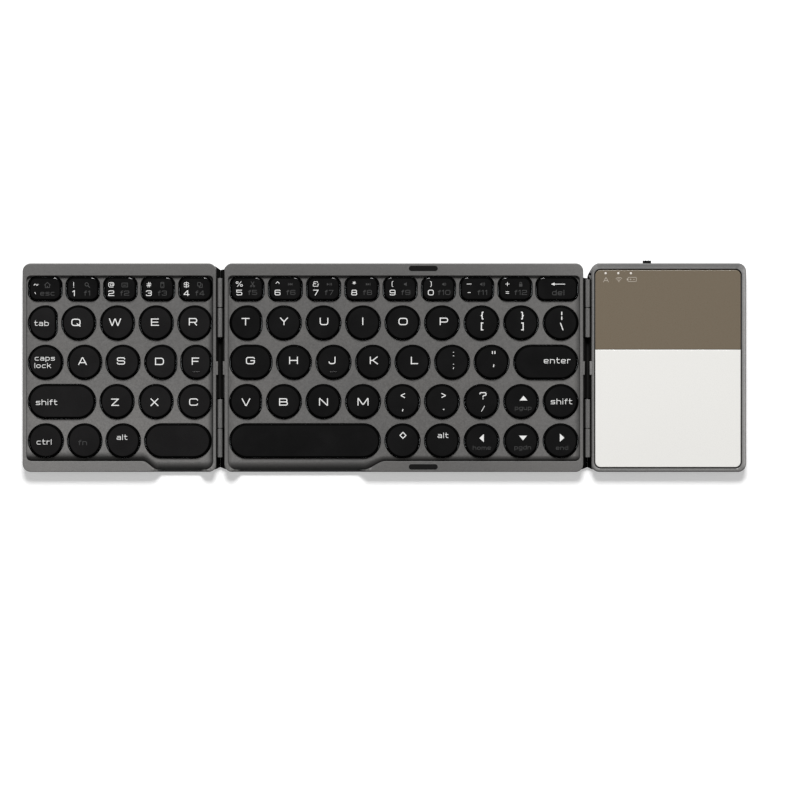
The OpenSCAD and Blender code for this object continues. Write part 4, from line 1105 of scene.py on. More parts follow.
# Small pictures, drawn about their own middle
ICONS = {
    "house": line([(-1.5, -0.1), (0, 1.25), (1.5, -0.1)], 0.32) + line([(-1.0, 0.2), (-1.0, -1.25), (1.0, -1.25), (1.0, 0.2)], 0.3) + line([(0, -1.25), (0, -0.5)], 0.5),
    "lens": circle(-0.25, 0.3, 0.8, 0.32) + line([(0.32, -0.3), (1.25, -1.25)], 0.4),
    "keyboard": line([(-1.4, -0.95), (1.4, -0.95), (1.4, 0.95), (-1.4, 0.95)], 0.26, 0.25, True)
    + [p for x in (-0.8, -0.27, 0.27, 0.8) for p in disc(x, 0.35, 0.15, 8)] + line([(-0.75, -0.35), (0.75, -0.35)], 0.28),
    "screen": line([(-0.75, -1.3), (0.75, -1.3), (0.75, 1.3), (-0.75, 1.3)], 0.3, 0.25, True) + disc(0, -0.75, 0.2, 8) + line([(-0.6, 0.75), (0.6, 0.75)], 0.25),
    "sheets": line([(-1.1, -0.5), (0.35, -0.5), (0.35, 1.2), (-1.1, 1.2)], 0.28, 0.15, True) + line([(0.45, 0.5), (1.1, 0.5), (1.1, -1.2), (-0.35, -1.2), (-0.35, -0.55)], 0.28, 0.12),
    "scissors": line([(-0.75, 1.25), (0.5, -0.6)], 0.3) + line([(0.75, 1.25), (-0.5, -0.6)], 0.3) + circle(-0.7, -0.95, 0.36, 0.26, 12) + circle(0.7, -0.95, 0.36, 0.26, 12),
    "back": [[(-0.1, 0), (0.75, -0.6), (0.75, 0.6)], [(-0.95, 0), (-0.1, -0.6), (-0.1, 0.6)], [(-1.35, -0.6), (-1.1, -0.6), (-1.1, 0.6), (-1.35, 0.6)]],
    "play": [[(-1.1, -0.62), (-0.1, 0), (-1.1, 0.62)], [(0.25, -0.6), (0.55, -0.6), (0.55, 0.6), (0.25, 0.6)], [(0.95, -0.6), (1.25, -0.6), (1.25, 0.6), (0.95, 0.6)]],
    "next": [[(0.1, 0), (-0.75, 0.6), (-0.75, -0.6)], [(0.95, 0), (0.1, 0.6), (0.1, -0.6)], [(1.1, -0.6), (1.35, -0.6), (1.35, 0.6), (1.1, 0.6)]],
    "mute": [[(-0.9, -0.35), (-0.38, -0.35), (-0.38, 0.35), (-0.9, 0.35)], [(-0.4, -0.35), (0.4, -0.95), (0.4, 0.95), (-0.4, 0.35)]],
    "quiet": [[(-0.95, -0.33), (-0.48, -0.33), (-0.48, 0.33), (-0.95, 0.33)], [(-0.5, -0.33), (0.15, -0.85), (0.15, 0.85), (-0.5, 0.33)]] + line(arc(0.1, 0, 0.72, -55, 55, 6), 0.26),
    "loud": [[(-1.15, -0.33), (-0.68, -0.33), (-0.68, 0.33), (-1.15, 0.33)], [(-0.7, -0.33), (-0.1, -0.85), (-0.1, 0.85), (-0.7, 0.33)]] + line(arc(-0.15, 0, 0.65, -55, 55, 6), 0.24) + line(arc(-0.15, 0, 1.2, -50, 50, 8), 0.24),
    "padlock": [[(-0.75, -1.15), (0.75, -1.15), (0.75, 0.1), (-0.75, 0.1)]] + line([(-0.45, 0.05), (-0.45, 0.95), (0.45, 0.95), (0.45, 0.05)], 0.28, 0.42),
    "left": [[(-1.05, 0), (1.0, -1.85), (1.0, 1.85)]],
    "right": [[(1.05, 0), (-1.0, 1.85), (-1.0, -1.85)]],
    "up": [[(0, 1.1), (-1.8, -1.05), (1.8, -1.05)]],
    "down": [[(0, -1.1), (1.8, 1.05), (-1.8, 1.05)]],
    "erase": [[(-3.2, 0), (-1.6, -0.68), (-1.6, 0.68)]] + line([(-1.7, 0), (3.2, 0)], 0.3),
    "diamond": line([(-1.45, 0), (0, -1.45), (1.45, 0), (0, 1.45)], 0.42, 0.0, True),
}

# What is printed on each key: (kind, what, x, y from the opening's middle, size, 1 white or 2 grey)
LEGENDS = {}
for ch, dx, dy in (
    ("q", -1.2, 0.2), ("w", -1.05, 0.3), ("e", -0.5, 0.3), ("r", -0.8, 0.5), ("a", -0.92, 0.45), ("s", -0.83, 0.55), ("d", -0.46, 0.35),
    ("f", -0.35, 0.43), ("z", -0.87, -0.35), ("x", -0.65, -0.35), ("c", -0.62, -0.25), ("t", -0.1, 0.55), ("y", 0.06, 0.65), ("u", 0.27, 0.6),
    ("i", -0.1, 0.7), ("o", 0.25, 0.6), ("p", 0.85, 0.7), ("g", -0.14, 0.7), ("h", -0.19, 0.8), ("j", -0.65, 0.75), ("k", 0.45, 0.8),
    ("l", 0.85, 0.75), ("v", 0.27, -0.3), ("b", -0.17, -0.2), ("n", 0.04, -0.2), ("m", 0.02, -0.15)):
    LEGENDS[ch] = [("t", ch.upper(), dx, dy, 3.4, 1)]
for name, hi, lo, icon, f in (
    ("backquote", "~", "`", "house", "esc"), ("1", "!", "1", "lens", "f1"), ("2", "@", "2", "keyboard", "f2"), ("3", "#", "3", "screen", "f3"),
    ("4", "$", "4", "sheets", "f4"), ("5", "%", "5", "scissors", "f5"), ("6", "^", "6", "back", "f6"), ("7", "&", "7", "play", "f7"),
    ("8", "*", "8", "next", "f8"), ("9", "(", "9", "mute", "f9"), ("0", ")", "0", "quiet", "f10"), ("minus", "_", "-", "loud", "f11"),
    ("equal", "+", "=", "padlock", "f12")):
    left = KEYS[name][0][0] < XL1
    dx, up, dn = (-4.1, 1.8, -2.05) if left else (-3.5, 2.15, -1.75)
    rx = 2.1 if left else 2.6
    if name == "backquote":
        rx = 1.1
    LEGENDS[name] = [("t", hi, dx, up, 2.5, 1), ("t", lo, dx - (0.4 if name == "backquote" else 0), dn - (0.7 if name == "backquote" else 0), 2.6, 1), ("i", icon, rx, up - 0.1, 0.95, 2), ("t", f, rx, dn + 0.05, 2.3, 2)]
for name, hi, lo, dx, y1, h1, y2, h2 in (
    ("bracket_open", "{", "[", 0.2, 3.3, 3.7, -1.65, 3.7), ("bracket_close", "}", "]", 0.6, 3.3, 3.7, -1.65, 3.7), ("backslash", "|", "\\", 0.45, 3.2, 3.7, -1.7, 3.4),
    ("semicolon", ":", ";", 0.62, 3.7, 2.9, -1.75, 2.9), ("quote", "\"", "'", 0.9, 3.35, 3.4, -2.6, 3.4),
    ("comma", "<", ",", 0.1, 2.7, 3.0, -2.6, 3.0), ("period", ">", ".", 0.75, 2.75, 3.0, -2.4, 3.0), ("slash", "?", "/", 0.62, 2.65, 3.3, -3.3, 2.6)):
    LEGENDS[name] = [("t", hi, dx, y1, h1, 1), ("t", lo, dx, y2, h2, 1)]
LEGENDS["delete"] = [("i", "erase", 0.45, 2.1, 1.0, 1), ("t", "del", 0.5, -1.75, 2.5, 2)]
LEGENDS["tab"] = [("t", "tab", -0.45, -0.2, 2.45, 1)]
LEGENDS["caps_lock"] = [("t", "caps", -0.3, 1.85, 2.35, 1), ("t", "lock", -1.2, -1.55, 2.35, 1)]
LEGENDS["left_shift"] = [("t", "shift", -7.0, -0.35, 2.6, 1)]
LEGENDS["right_shift"] = [("t", "shift", 0.3, 0.0, 2.6, 1)]
LEGENDS["enter"] = [("t", "enter", 5.1, 0.75, 2.7, 1)]
LEGENDS["ctrl"] = [("t", "ctrl", -0.75, -0.5, 2.5, 1)]
LEGENDS["fn"] = [("t", "fn", -0.85, -0.75, 2.5, 2)]
LEGENDS["left_alt"] = [("t", "alt", -0.5, 1.65, 2.45, 1)]
LEGENDS["right_alt"] = [("t", "alt", 0.4, 2.5, 2.45, 1)]
LEGENDS["meta"] = [("i", "diamond", 0.2, 2.5, 0.95, 1)]
LEGENDS["up"] = [("i", "up", 1.06, 1.5, 1.0, 1), ("t", "pgup", 0.9, -2.9, 1.9, 2)]
LEGENDS["down"] = [("i", "down", 0.83, 1.3, 1.0, 1), ("t", "pgdn", 0.7, -3.0, 1.9, 2)]
LEGENDS["left"] = [("i", "left", 0.0, 1.25, 1.0, 1), ("t", "home", 0.1, -3.15, 1.9, 2)]
LEGENDS["right"] = [("i", "right", 0.6, 1.4, 1.0, 1), ("t", "end", 0.6, -3.15, 1.9, 2)]


def legend(m, name, z=KEY_TOP):
    h = KEYS[name][0]
    cx, cy = (h[0] + h[1]) / 2, h[2]
    layers = {1: [], 2: []}
    for kind, what, dx, dy, size, mat in LEGENDS.get(name, []):
        if kind == "t":
            small = what[0].islower()
            fine = not what.isalnum() and size < 3
            weight = 0.74 if mat == 2 else 0.66 if small else 0.64 if fine else 0.82
            layers[mat] += text(what, cx + dx, cy + dy, size, size * (0.19 if small else 0.14), "c", weight)
        else:
            layers[mat] += moved(ICONS[what], cx + dx, cy + dy, size)
    for mat, polys in layers.items():
        raised(m, polys, z - 0.03, z + 0.012, mat)
# ---------------------------------------------------------------- keys
KEY_PROFILE = ((0.0, 3.3), (0.0, 4.72), (0.03, 5.0), (0.10, 5.25), (0.21, 5.45), (0.36, 5.595), (0.54, 5.675), (0.78, 5.7))


def key_cap(name):
    h, node = KEYS[name]
    m = Make()
    inner = [m.ring(key_loop(h, 1.05), z) for z in (3.3, 4.8)]
    m.wall(inner[1], inner[0])
    m.face(reversed(inner[1]))
    rings = [m.ring(key_loop(h, 0.25 + c), z) for c, z in KEY_PROFILE]
    m.plane(rings[0], [inner[0]], up=False)
    c = (h[0] + h[1]) / 2
    # sides and rounded top edge take the near-black matt paint, painted shade round each key; on number keys small
    # glossy patches stay at the far corners, where the edge lamp makes a glint
    for i, (a, b) in enumerate(zip(rings, rings[1:])):
        first = len(m.f)
        m.wall(a, b, 3)
        if i > 2 and h[3] < 12:
            for n in range(first, len(m.f)):
                fx = sum(m.v[j][0] for j in m.f[n]) / 4
                fy = sum(m.v[j][1] for j in m.f[n]) / 4
                far = h[1] - fx if c < -4 else fx - h[0]
                if fy > h[2] and 2.0 < far < 4.6:
                    m.m[n] = 4
    m.plane(rings[-1], [])
    m.prism([(c + 1.25 * math.cos(2 * math.pi * i / 16), h[2] + 1.25 * math.sin(2 * math.pi * i / 16)) for i in range(16)], 3.6, 4.9)
    legend(m, name)
    if name in ("f", "j"):
        m.prism(rounded(c - 1.75, c + 1.75, h[2] - 4.85, h[2] - 4.3, 0.27, 0.27, 4), 5.6, 5.9, 0.12, 0, low=False)
    low = h[3] < 12
    # the left wing's keys take the lighter copy of the key plastic, painted light
    top = M["key_number"] if low else M["key_left"] if h[0] < XL1 else M["key"]
    o = m.object("key_" + name, [top, M["print"], M["print_dim"], M["key_edge_painted_shade"], M["key_gloss"]], node, 40)
    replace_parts(o, node)
    return o


for k in KEYS:
    key_cap(k)


# ---------------------------------------------------------------- right wing: frame, cover, glass, lights
GX0, GX1, GY0, GY1, GLASS = 96.52, 163.02, -45.55, 44.65, 5.7


def turned_over(m, start, fn):
    """Moves the points made since start, such as from an upright prism to one that lies along X."""
    m.v[start:] = [fn(*v) for v in m.v[start:]]


def carve(o, cutters, smooth_deg=40):
    """Takes the cutters out of a piece for good."""
    for c in cutters:
        mod = o.modifiers.new("cut", "BOOLEAN")
        mod.operation, mod.object, mod.solver = "DIFFERENCE", c, "EXACT"
        for w in [x for x in o.modifiers if x.type == "WEIGHTED_NORMAL"]:
            o.modifiers.remove(w)
    bpy.context.view_layer.update()
    mesh = bpy.data.meshes.new_from_object(o.evaluated_get(bpy.context.evaluated_depsgraph_get()))
    o.modifiers.clear()
    o.data = mesh
    for c in cutters:
        bpy.data.objects.remove(c)
    bm = bmesh.new()
    bm.from_mesh(mesh)
    bmesh.ops.remove_doubles(bm, verts=bm.verts, dist=2e-6)
    bmesh.ops.dissolve_degenerate(bm, edges=bm.edges, dist=1e-6)
    for e in bm.edges:
        e.smooth = not (len(e.link_faces) == 2 and e.calc_face_angle(0) > math.radians(smooth_deg))
    for f in bm.faces:
        f.smooth = True
    bm.to_mesh(mesh)
    bm.free()
    w = o.modifiers.new("normals", "WEIGHTED_NORMAL")
    w.keep_sharp, w.weight = True, 100


def right_frame():
    m = Make()
    outer = dense(rounded(XR0, XR1, -YB, YB, 3.5, 3.8, 12), 3.0)
    prof = [(0.15, SEAM), (0.0, SEAM + 0.15), (0.0, RIM - 0.5)]
    prof += [(0.6 * (1 - math.cos(math.pi / 2 * i / 5)), RIM - 0.5 * (1 - math.sin(math.pi / 2 * i / 5))) for i in range(1, 6)]
    rings = [m.ring(inset(outer, c), z) for c, z in prof]
    for i, (a, b) in enumerate(zip(rings, rings[1:])):
        m.wall(a, b, 2 if i > 1 else 0)
    well = dense(rounded(GX0 - 0.5, GX1 + 0.5, GY0 - 0.5, GY1 + 0.5, 2.9, 2.9, 12), 3.0)
    wr = [m.ring(inset(well, c), z) for c, z in ((-0.12, RIM), (-0.04, RIM - 0.04), (0.0, RIM - 0.12), (0.0, 4.9))]
    m.plane(rings[-1], [wr[0]])
    for a, b in zip(wr, wr[1:]):
        m.wall(a, b, 1)
    a, b, c, d = XR0 + 1.5, XR0 + 3.6, XR1 - 3.6, XR1 - 1.5
    plus = [(a, -42), (b, -42), (b, -43), (c, -43), (c, -42), (d, -42), (d, 42), (c, 42), (c, 43.9), (b, 43.9), (b, 42), (a, 42)]
    p0, p1 = m.ring(plus, SEAM), m.ring(plus, 4.1)
    m.wall(p0, p1, 1)
    m.face((p1[0], p1[1], p1[10], p1[11]), 1)
    m.face((p1[4], p1[5], p1[6], p1[7]), 1)
    o1 = [p1[i] for i in (1, 2, 3, 4, 7, 8, 9, 10)]
    o2 = m.ring([m.v[i][:2] for i in o1], 4.9)
    m.wall(o1, o2, 1)
    m.plane(wr[-1], [o2], mat=1)
    m.plane(rings[0], [p0], up=False)
    m.box((XR0 - 0.85, -3.3, 4.9), (XR0 + 0.3, 2.9, RIM - 0.02), 0.18)
    o = m.object("right_frame_shell", [M["touch_frame"], M["groove"], M["edge"]], "right_wing")
    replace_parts(o, "right_top_frame")
    port = Make()
    port.prism(rounded(-4.1, 4.1, -1.35, 1.35, 1.3, 1.3, 8), 0, 5)
    turned_over(port, 0, lambda x, y, z: (XR1 - 4 + z, x, 3.1 + y))
    slot = Make()
    slot.prism(rounded(XR0 + 23.3, XR0 + 29.6, 2.2, 4.6, 0.5, 0.5, 5), 0, 8)
    turned_over(slot, 0, lambda x, y, z: (x, 42 + z, y))
    room = Make()
    room.box((XR0 + 22.05, 42.5, 1.52), (XR0 + 30.85, 45.65, 4.7))
    cuts = [k.object("cut", [M["black"]], None, weighted=False) for k in (port, slot, room)]
    for c2 in cuts:
        c2.data.materials.clear()
        c2.data.materials.append(M["black"])
    carve(o, cuts)
    # painted shade along the frame's back side and painted light along its right side
    paint_light_and_shade(o, lambda x, y, z: (1.0 - 0.43 * smooth((y - 46.7) / 0.6)) * (1.0 + 0.75 * smooth((x - 164.3) / 0.8)) if z > 3.5 else 1.0)
    return o


right_frame()
cover("right_cover_shell", "right_bottom_cover", "right_wing", [M["cover"], M["gap"]], XR0, XR1, 3.5, 3.8, (-1,),
    [(XR0 + 6, 45.2), (XR0 + 6, -45.2), (XR1 - 6, 45.2), (XR1 - 6, -45.2), (XR0 + 35, -45.2)],
    [(XR0 + 12, 38), (XR0 + 12, -38), (XR1 - 12, 38), (XR1 - 12, -38)], 42,
    ends={-1: [(-0.35, 46.0), (0.0, 45.2), (0.8, 43.9), (1.5, 42.5), (1.77, 41.6)]})

LED_AT = [(XR0 + 6.45, 43.15), (XR0 + 12.25, 43.15), (XR0 + 18.0, 43.15)]


def glass_plate(y0, y1, rounded_low, holes=()):
    """A plate of glass with ground edges, rounded at its outer corners only."""
    m = Make()
    r = 2.4
    if rounded_low:
        loop = arc(GX0 + r, y0 + r, r, 180, 270, 10) + arc(GX1 - r, y0 + r, r, 270, 360, 10) + [(GX1, y1), (GX0, y1)]
    else:
        loop = [(GX0, y0), (GX1, y0)] + arc(GX1 - r, y1 - r, r, 0, 90, 10) + arc(GX0 + r, y1 - r, r, 90, 180, 10)
    loop = dense(loop, 6.0)
    prof = ((0.1, 4.9), (0.0, 5.0), (0.0, GLASS - 0.16), (0.05, GLASS - 0.06), (0.16, GLASS - 0.01), (0.3, GLASS))
    rings = [m.ring(inset(loop, c), z) for c, z in prof]
    for a, b in zip(rings, rings[1:]):
        m.wall(a, b)
    tops, lows = [], []
    for x, y in holes:
        ring = [(x + 0.6 * math.cos(2 * math.pi * i / 20), y + 0.6 * math.sin(2 * math.pi * i / 20)) for i in range(20)]
        a, b = m.ring(ring, 4.9), m.ring(ring, GLASS)
        for i in range(20):
            j = (i + 1) % 20
            m.face((a[i], a[j], b[j], b[i]))
        tops.append(b)
        lows.append(a)
    m.plane(rings[-1], tops)
    m.plane(rings[0], lows, up=False)
    return m


m = glass_plate(8.3, GY1, False, LED_AT)
ax, ay = at(606, 279.9)
marks = text("A", ax, ay - 0.05, 2.15, weight=0.62)
wx, wy = at(618.9, 279.9)
for r in (0.75, 1.4, 2.05):
    marks += line(arc(wx, wy - 1.05, r, 45, 135, 8), 0.19)
marks += disc(wx, wy - 0.95, 0.22, 10)
bx, by = at(632.2, 279.7)
marks += line([(bx - 1.9, by - 0.95), (bx + 1.9, by - 0.95), (bx + 1.9, by + 0.95), (bx - 1.9, by + 0.95)], 0.19, 0.3, True)
marks += [[(bx - 2.45, by - 0.4), (bx - 1.95, by - 0.4), (bx - 1.95, by + 0.4), (bx - 2.45, by + 0.4)]]
marks += line([(bx + 0.35, by), (bx + 1.15, by)], 0.18) + line([(bx - 1.15, by), (bx - 0.35, by)], 0.18) + line([(bx - 0.75, by - 0.4), (bx - 0.75, by + 0.4)], 0.18)
raised(m, marks, GLASS - 0.02, GLASS + 0.008, 1)
o = m.object("taupe_glass", [M["taupe"], M["mark"]], "right_wing")
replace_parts(o, "indicator_panel")
o = glass_plate(GY0, 8.2, True).object("white_glass", [M["white"]], "right_wing")
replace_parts(o, "touch_surface")

m = Make()
for x, y in LED_AT:
    m.turned(x, y, [(0, 3.1), (0.5, 3.1), (0.55, 3.15), (0.55, 5.6), (0.47, 5.68), (0.28, 5.705), (0, 5.715)], 20)
    m.box((x - 0.8, 39.4, 1.85), (x + 0.8, 41.0, 3.1), 0.12)
    m.box((x - 0.55, 39.4, 3.09), (x + 0.55, 43.5, 3.8), 0.15)
o = m.object("light_guides", [M["guide"]], "right_wing")
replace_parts(o, "indicator_leds")

# ---------------------------------------------------------------- hinges
def knuckle(m, ax, s, y0, y1):
    """A barrel with its arm and leaf, as one section drawn out along Y. s is 1 where its panel lies left of the axis."""
    n = 26
    start = math.atan2(-1.15, -0.343)
    end = math.atan2(-0.8, -0.894)
    a0, a1 = start, end + 2 * math.pi
    round_part = [(1.2 * math.cos(a0 + (a1 - a0) * i / n), AX_Z + 1.2 * math.sin(a0 + (a1 - a0) * i / n)) for i in range(n + 1)]
    sec = [(-5.9, 1.62), (-1.4, 1.62), (-1.4, 4.9)] + round_part + [(-1.9, 5.25), (-1.9, 1.92), (-5.9, 1.92)]
    bore = [(0.53 * math.cos(2 * math.pi * i / 20), AX_Z + 0.53 * math.sin(2 * math.pi * i / 20)) for i in range(20)]
    k = len(m.v)
    first = len(m.f)
    rings = [m.ring(inset(sec, c), y) for c, y in ((0.12, y0), (0.035, y0 + 0.035), (0.0, y0 + 0.12), (0.0, y1 - 0.12), (0.035, y1 - 0.035), (0.12, y1))]
    holes = [m.ring(bore, y0), m.ring(bore, y1)]
    # the leaf and arm faces take the near-black gap paint: painted shadow beside each barrel
    dark = {0, 1, 2, n + 3, n + 4, n + 5, n + 2}
    for a, b in zip(rings, rings[1:]):
        for i in range(len(a)):
            j = (i + 1) % len(a)
            m.face((a[i], a[j], b[j], b[i]), 1 if (i in dark or i > n + 2) else 0)
    m.wall(holes[1], holes[0])
    m.plane(rings[0], [holes[0]], up=False)
    m.plane(rings[-1], [holes[1]])
    turned_over(m, k, lambda u, v, w: (ax + s * u, w, v))


for name, node, body, where in (
    ("left_knuckles", "left_hinge_knuckles", "left_wing", [(AX_L, 1, y) for y in OUTER_Y]),
    ("right_knuckles", "right_hinge_knuckles", "right_wing", [(AX_R, -1, (y[0], min(y[1], 40.3))) for y in OUTER_Y]),
    ("middle_knuckles", "inner_hinge_knuckles", "middle_panel", [(AX_L, -1, y) for y in INNER_Y] + [(AX_R, 1, y) for y in INNER_Y])):
    m = Make()
    for ax, s, (y0, y1) in where:
        knuckle(m, ax, s, y0, y1)
    o = m.object(name, [M["hinge"], M["gap"]], body, 35)
    # painted shade on each barrel's side towards the middle panel
    paint_light_and_shade(o, lambda x, y, z: 1.0 - 0.75 * smooth(((x - AX_L if x < 0 else AX_R - x) - 0.35) / 0.75))
    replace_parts(o, node)

m = Make()
for ax in (AX_L, AX_R):
    for y0, y1 in ((14.1, 40.7), (-40.8, -14.7)):
        k = len(m.v)
        m.turned(0, 0, [(0, y0), (0.3, y0), (0.44, y0 + 0.06), (0.5, y0 + 0.2), (0.5, y1 - 0.2), (0.44, y1 - 0.06), (0.3, y1), (0, y1)], 20)
        turned_over(m, k, lambda u, v, w, ax=ax: (ax + u, w, AX_Z + v))
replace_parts(m.object("pins", [M["pin"]], "middle_panel", 35), "hinge_pins")

m = Make()
for x0 in (XM0 - 0.5, XM1):
    m.box((x0, CABLE_Y[0], 3.9), (x0 + 0.5, CABLE_Y[1], 4.85), 0.1)
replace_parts(m.object("cable_clamps", [M["black"]], "middle_panel"), "flex_clamps")


def cable(name, node, xa, xc):
    """A flat ribbon cable in a shallow loop, with its conductors showing as fine ridges."""
    m = Make()
    n, k = 28, 40
    y0, y1 = CABLE_Y
    rows = []
    for i in range(n + 1):
        t = i / n
        x, z = xa + (xc - xa) * t, 4.4 - 1.5 * math.sin(math.pi * t)
        top = [(x, y0 + (y1 - y0) * j / (2 * k), z + 0.2 - (0.03 if j % 2 and 0 < j < 2 * k else 0)) for j in range(2 * k + 1)]
        low = [(x, y0 + (y1 - y0) * j / (2 * k), z) for j in range(2 * k, -1, -1)]
        b = len(m.v)
        m.v += top + low
        rows.append(list(range(b, b + len(top) + len(low))))
    for a, b in zip(rows, rows[1:]):
        m.wall(a, b)
    m.face(reversed(rows[0]))
    m.face(rows[-1])
    o = m.object(name, [M["cable"]], None, 60)
    o.modifiers.clear()
    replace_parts(o, node)
    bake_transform(o)
    return o


cable("left_cable", "left_flex_cable", XL1, XM0 - 0.5)
cable("right_cable", "right_flex_cable", XR0, XM1 + 0.5)

# ---------------------------------------------------------------- bumpers, feet, screws, switch, socket
BUMP_X = (2 * AX_L - XL0 + 2 * AX_R - XR1) / 2
m = Make()
for y in (-45.4, 45.4):
    m.prism(rounded(BUMP_X - 6.65, BUMP_X + 6.65, y - 1.25, y + 1.25, 1.24, 1.24, 10), 5.0, 6.05, 0.22, 0, low=False)
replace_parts(m.object("bumpers", [M["rubber"]], "middle_panel", 60), "rim_bumpers")


def feet(name, node, body, where):
    m = Make()
    for x, y in where:
        m.turned(x, y, [(0, 0.0), (2.3, 0.0), (2.62, 0.03), (2.86, 0.12), (2.97, 0.26), (3.0, 0.42), (3.0, 0.6), (0, 0.6)], 40)
    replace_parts(m.object(name, [M["rubber"]], body, 60), node)


feet("left_pads", "left_feet", "left_wing", [(XL0 + 12, 38), (XL0 + 12, -38), (XL1 - 14, -38), (XL1 - 14, 38)])
feet("middle_pads", "middle_feet", "middle_panel", [(XM0 + 14, 38), (XM0 + 14, -38), (XM1 - 14, 38), (XM1 - 14, -38)])
feet("right_pads", "right_feet", "right_wing", [(XR0 + 12, 38), (XR0 + 12, -38), (XR1 - 12, 38), (XR1 - 12, -38)])


def screws(name, node, body, where):
    m = Make()
    cross = [(-0.75, -0.15), (-0.15, -0.15), (-0.15, -0.75), (0.15, -0.75), (0.15, -0.15), (0.75, -0.15),
             (0.75, 0.15), (0.15, 0.15), (0.15, 0.75), (-0.15, 0.75), (-0.15, 0.15), (-0.75, 0.15)]
    for n, (x, y) in enumerate(where):
        a = 0.5 + n * 0.9
        turn = [(x + px * math.cos(a) - py * math.sin(a), y + px * math.sin(a) + py * math.cos(a)) for px, py in cross]
        circ = lambda r: [(x + r * math.cos(2 * math.pi * i / 28), y + r * math.sin(2 * math.pi * i / 28)) for i in range(28)]
        rings = [m.ring(circ(r), z) for r, z in ((1.02, 0.5), (1.18, 0.54), (1.28, 0.64), (1.3, 0.74), (1.3, 1.0), (0.7, 1.0), (0.7, 4.05), (0.55, 4.2))]
        for p, q in zip(rings, rings[1:]):
            m.wall(p, q)
        m.face(rings[-1])
        c0 = m.ring(turn, 0.5)
        deep = [(x + (px - x) * 0.8, y + (py - y) * 0.8) for px, py in turn]
        c1 = m.ring(deep, 0.84)
        m.plane(rings[0], [c0], up=False)
        m.wall(c1, c0)
        m.plane(c1, [], up=False)
    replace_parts(m.object(name, [M["screw"]], body, 35), node)


screws("left_case_screws", "left_screws", "left_wing", [(XL0 + 6, 45.2), (XL0 + 45, 45.2), (XL1 - 6, 45.2), (XL0 + 6, -45.2), (XL0 + 45, -45.2)])
screws("middle_case_screws", "middle_screws", "middle_panel",
    [(XM0 + 6, 45.2), (XM0 + 55, 45.2), (XM0 + 120, 45.2), (XM1 - 6, 45.2), (XM0 + 82, -45.2), (XM0 + 120, -45.2), (XM1 - 6, -45.2)])
screws("right_case_screws", "right_screws", "right_wing", [(XR0 + 6, 45.2), (XR0 + 6, -45.2), (XR1 - 6, 45.2), (XR1 - 6, -45.2), (XR0 + 35, -45.2)])

m = Make()
kx = XR0 + 25.45
tip = [(kx + 1.9 - 3.8 * i / 48, 48.8 + 0.28 * abs(math.cos(math.pi * (i / 48 * 3.0))) ** 0.6) for i in range(49)]
m.prism([(kx - 1.9, 43.95), (kx + 1.9, 43.95)] + tip, 2.45, 4.35, 0.16)
m.box((kx - 3, 43.9, 2.0), (kx + 3, 45.3, 4.5), 0.15)
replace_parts(m.object("switch_knob", [M["rubber"]], "power_switch", 35), "power_switch_knob")

m = Make()
k = len(m.v)
out_loop, in_loop = rounded(-3.75, 3.75, -1.2, 1.2, 1.19, 1.19, 10), rounded(-3.45, 3.45, -0.9, 0.9, 0.89, 0.89, 10)
prof = [(in_loop, 0.3), (in_loop, 5.5)]
r0, r1 = m.ring(out_loop, 0.0), m.ring(out_loop, 5.52)
r2 = m.ring(inset(out_loop, 0.08), 5.6)
r3 = m.ring(inset(in_loop, -0.06), 5.6)
r4, r5 = m.ring(in_loop, 5.5), m.ring(in_loop, 0.3)
m.face(reversed(r0))
for a, b in ((r0, r1), (r1, r2), (r2, r3), (r3, r4), (r4, r5)):
    m.wall(a, b)
m.face(r5)
m.prism(rounded(-2.9, 2.9, -0.3, 0.3, 0.1, 0.1, 3), 0.2, 4.6, 0.08, 1)
for i in range(8):
    y = -2.3 + 4.6 * i / 7
    m.box((y - 0.14, 0.29, 1.2), (y + 0.14, 0.33, 4.3), 0, 2)
    m.box((y - 0.14, -0.33, 1.2), (y + 0.14, -0.29, 4.3), 0, 2)
turned_over(m, k, lambda x, y, z: (XR1 - 5.9 + z, x, 3.05 + y))
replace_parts(m.object("charging_socket", [M["port"], M["black"], M["gold"]], "right_wing", 40), "charging_port")

# ---------------------------------------------------------------- rubber domes and scissors under the keys
def under_keys(node, body, mat):
    """The domes or scissors of one panel, split by the body whose keys stand on them, each group attached to that body.
    """
    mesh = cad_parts[node].data
    co = [tuple(c / MM for c in v.co) for v in mesh.vertices]
    groups = {}
    for f in mesh.polygons:
        x, y = f.center.x / MM, f.center.y / MM
        for h, group in KEYS.values():
            if h[0] < x < h[1] and abs(y - h[2]) < h[3] / 2:
                groups.setdefault(group, []).append(list(f.vertices))
                break
        else:
            raise ValueError("a piece of %s lies under no key" % node)
    for group, faces in sorted(groups.items()):
        m = Make()
        index = {}
        for f in faces:
            for i in f:
                if i not in index:
                    index[i] = len(m.v)
                    m.v.append(co[i])
            m.face([index[i] for i in f])
        o = m.object(node + "_of_" + group, [mat], body, 35, False)
        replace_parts(o, node)
        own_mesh(o)


for node, body in (("left_domes", "left_wing"), ("middle_domes", "middle_panel")):
    under_keys(node, body, M["dome"])
for node, body in (("left_scissors", "left_wing"), ("middle_scissors", "middle_panel")):
    under_keys(node, body, M["scissor"])

# ---------------------------------------------------------------- finishes of the parts inside
for names, mat in (
    ("left_support_plate middle_support_plate", M["plate"]),
    ("left_membrane middle_membrane", M["film"]),
    ("touch_board main_board", M["board"]),
    ("battery", M["foil"])):
    for n in names.split():
        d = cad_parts[n].data
        if not d.materials:
            d.materials.append(None)
        for i in range(len(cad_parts[n].material_slots)):
            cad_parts[n].material_slots[i].link = "OBJECT"
            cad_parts[n].material_slots[i].material = mat


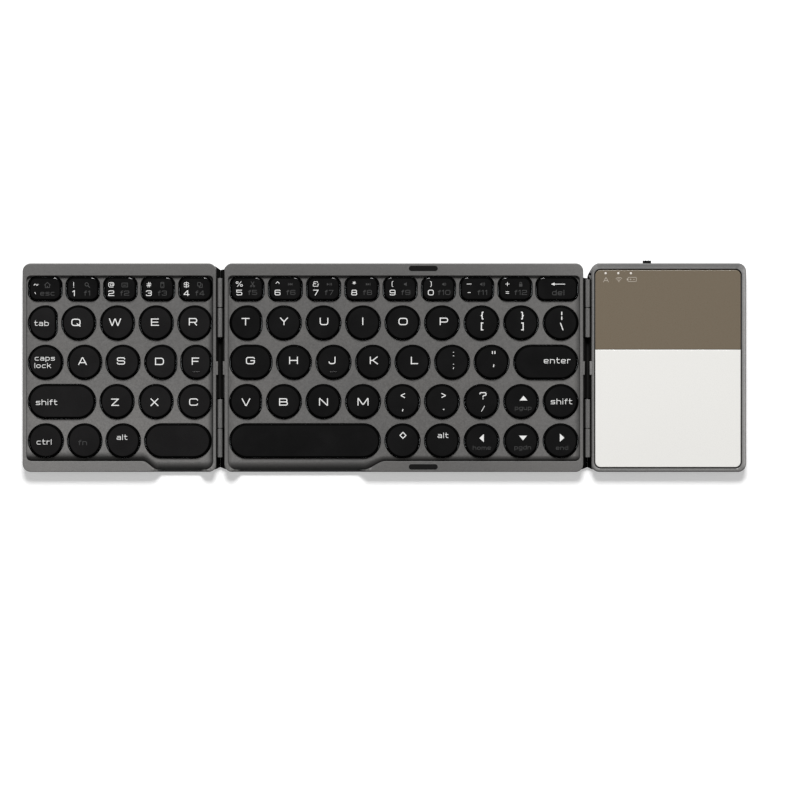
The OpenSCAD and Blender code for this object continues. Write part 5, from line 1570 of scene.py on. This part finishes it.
# ---------------------------------------------------------------- floor, light, camera
def area(name, at_m, aim, size, power, color=(1, 1, 1), size_y=None, spread_deg=180):
    li = bpy.data.lights.new(name, "AREA")
    li.energy, li.size, li.color = power, size, color
    li.shape = "RECTANGLE" if size_y else "SQUARE"
    if size_y:
        li.size_y = size_y
    li.spread = math.radians(spread_deg)
    o = bpy.data.objects.new(name, li)
    o.location = at_m
    o.rotation_euler = (Vector(aim) - Vector(at_m)).to_track_quat("-Z", "Y").to_euler()
    bpy.context.scene.collection.objects.link(o)
    return o


world = bpy.data.worlds.new("studio")
world.use_nodes = True
world.node_tree.nodes["Background"].inputs["Color"].default_value = (1.0, 1.0, 1.0, 1)
world.node_tree.nodes["Background"].inputs["Strength"].default_value = 0.05
bpy.context.scene.world = world

area("back_light", (-0.0066, 2.08, 2.23), (0, 0, 0), 1.3, 132, size_y=0.9)
area("left_light", (-2.4, 0.2, 1.7), (0, 0, 0), 1.2, 8)
area("right_light", (2.4, 0.2, 1.7), (0, 0, 0), 1.2, 8)
area("front_light", (0.0, -2.3, 1.9), (0, 0, 0), 1.4, 2.5)
area("edge_light", (-0.0066, 1.2, 0.84), (0, 0, 0), 0.10, 4)

floor_mesh = bpy.data.meshes.new("floor")
floor_mesh.from_pydata([(-6, -6, -0.00005), (6, -6, -0.00005), (6, 6, -0.00005), (-6, 6, -0.00005)], [], [(0, 1, 2, 3)])
floor = bpy.data.objects.new("floor", floor_mesh)
bpy.context.scene.collection.objects.link(floor)
fm, fnt, fb, fco = new_material("pale_floor", (0.9, 0.9, 0.9), 0.9, 0.0, 0.1)
fnt.links.new(shades(fnt, noise(fnt, fco, 3, 2.0), [(0.3, grey(0.62)), (0.7, grey(0.64))]), fb.inputs["Base Color"])
fb.inputs["Emission Color"].default_value = (1, 1, 1, 1)
fb.inputs["Emission Strength"].default_value = 0.42
fm.cycles.emission_sampling = "NONE"
floor.visible_diffuse = False
floor_mesh.materials.append(fm)

cam = bpy.data.cameras.new("camera")
cam.lens, cam.sensor_width = 200, 36
cam.clip_start, cam.clip_end = 0.05, 50
cam_o = bpy.data.objects.new("camera", cam)
cx, cy = at(400, 400.3)
cam_o.location = (cx * MM, cy * MM, (5.7 + 0.4576 * 800 / 36 * 200) * MM)
cam_o.rotation_euler = (0, 0, 0)
bpy.context.scene.collection.objects.link(cam_o)
bpy.context.scene.camera = cam_o
bpy.context.scene.view_settings.view_transform = "Standard"
bpy.context.scene.view_settings.look = "None"
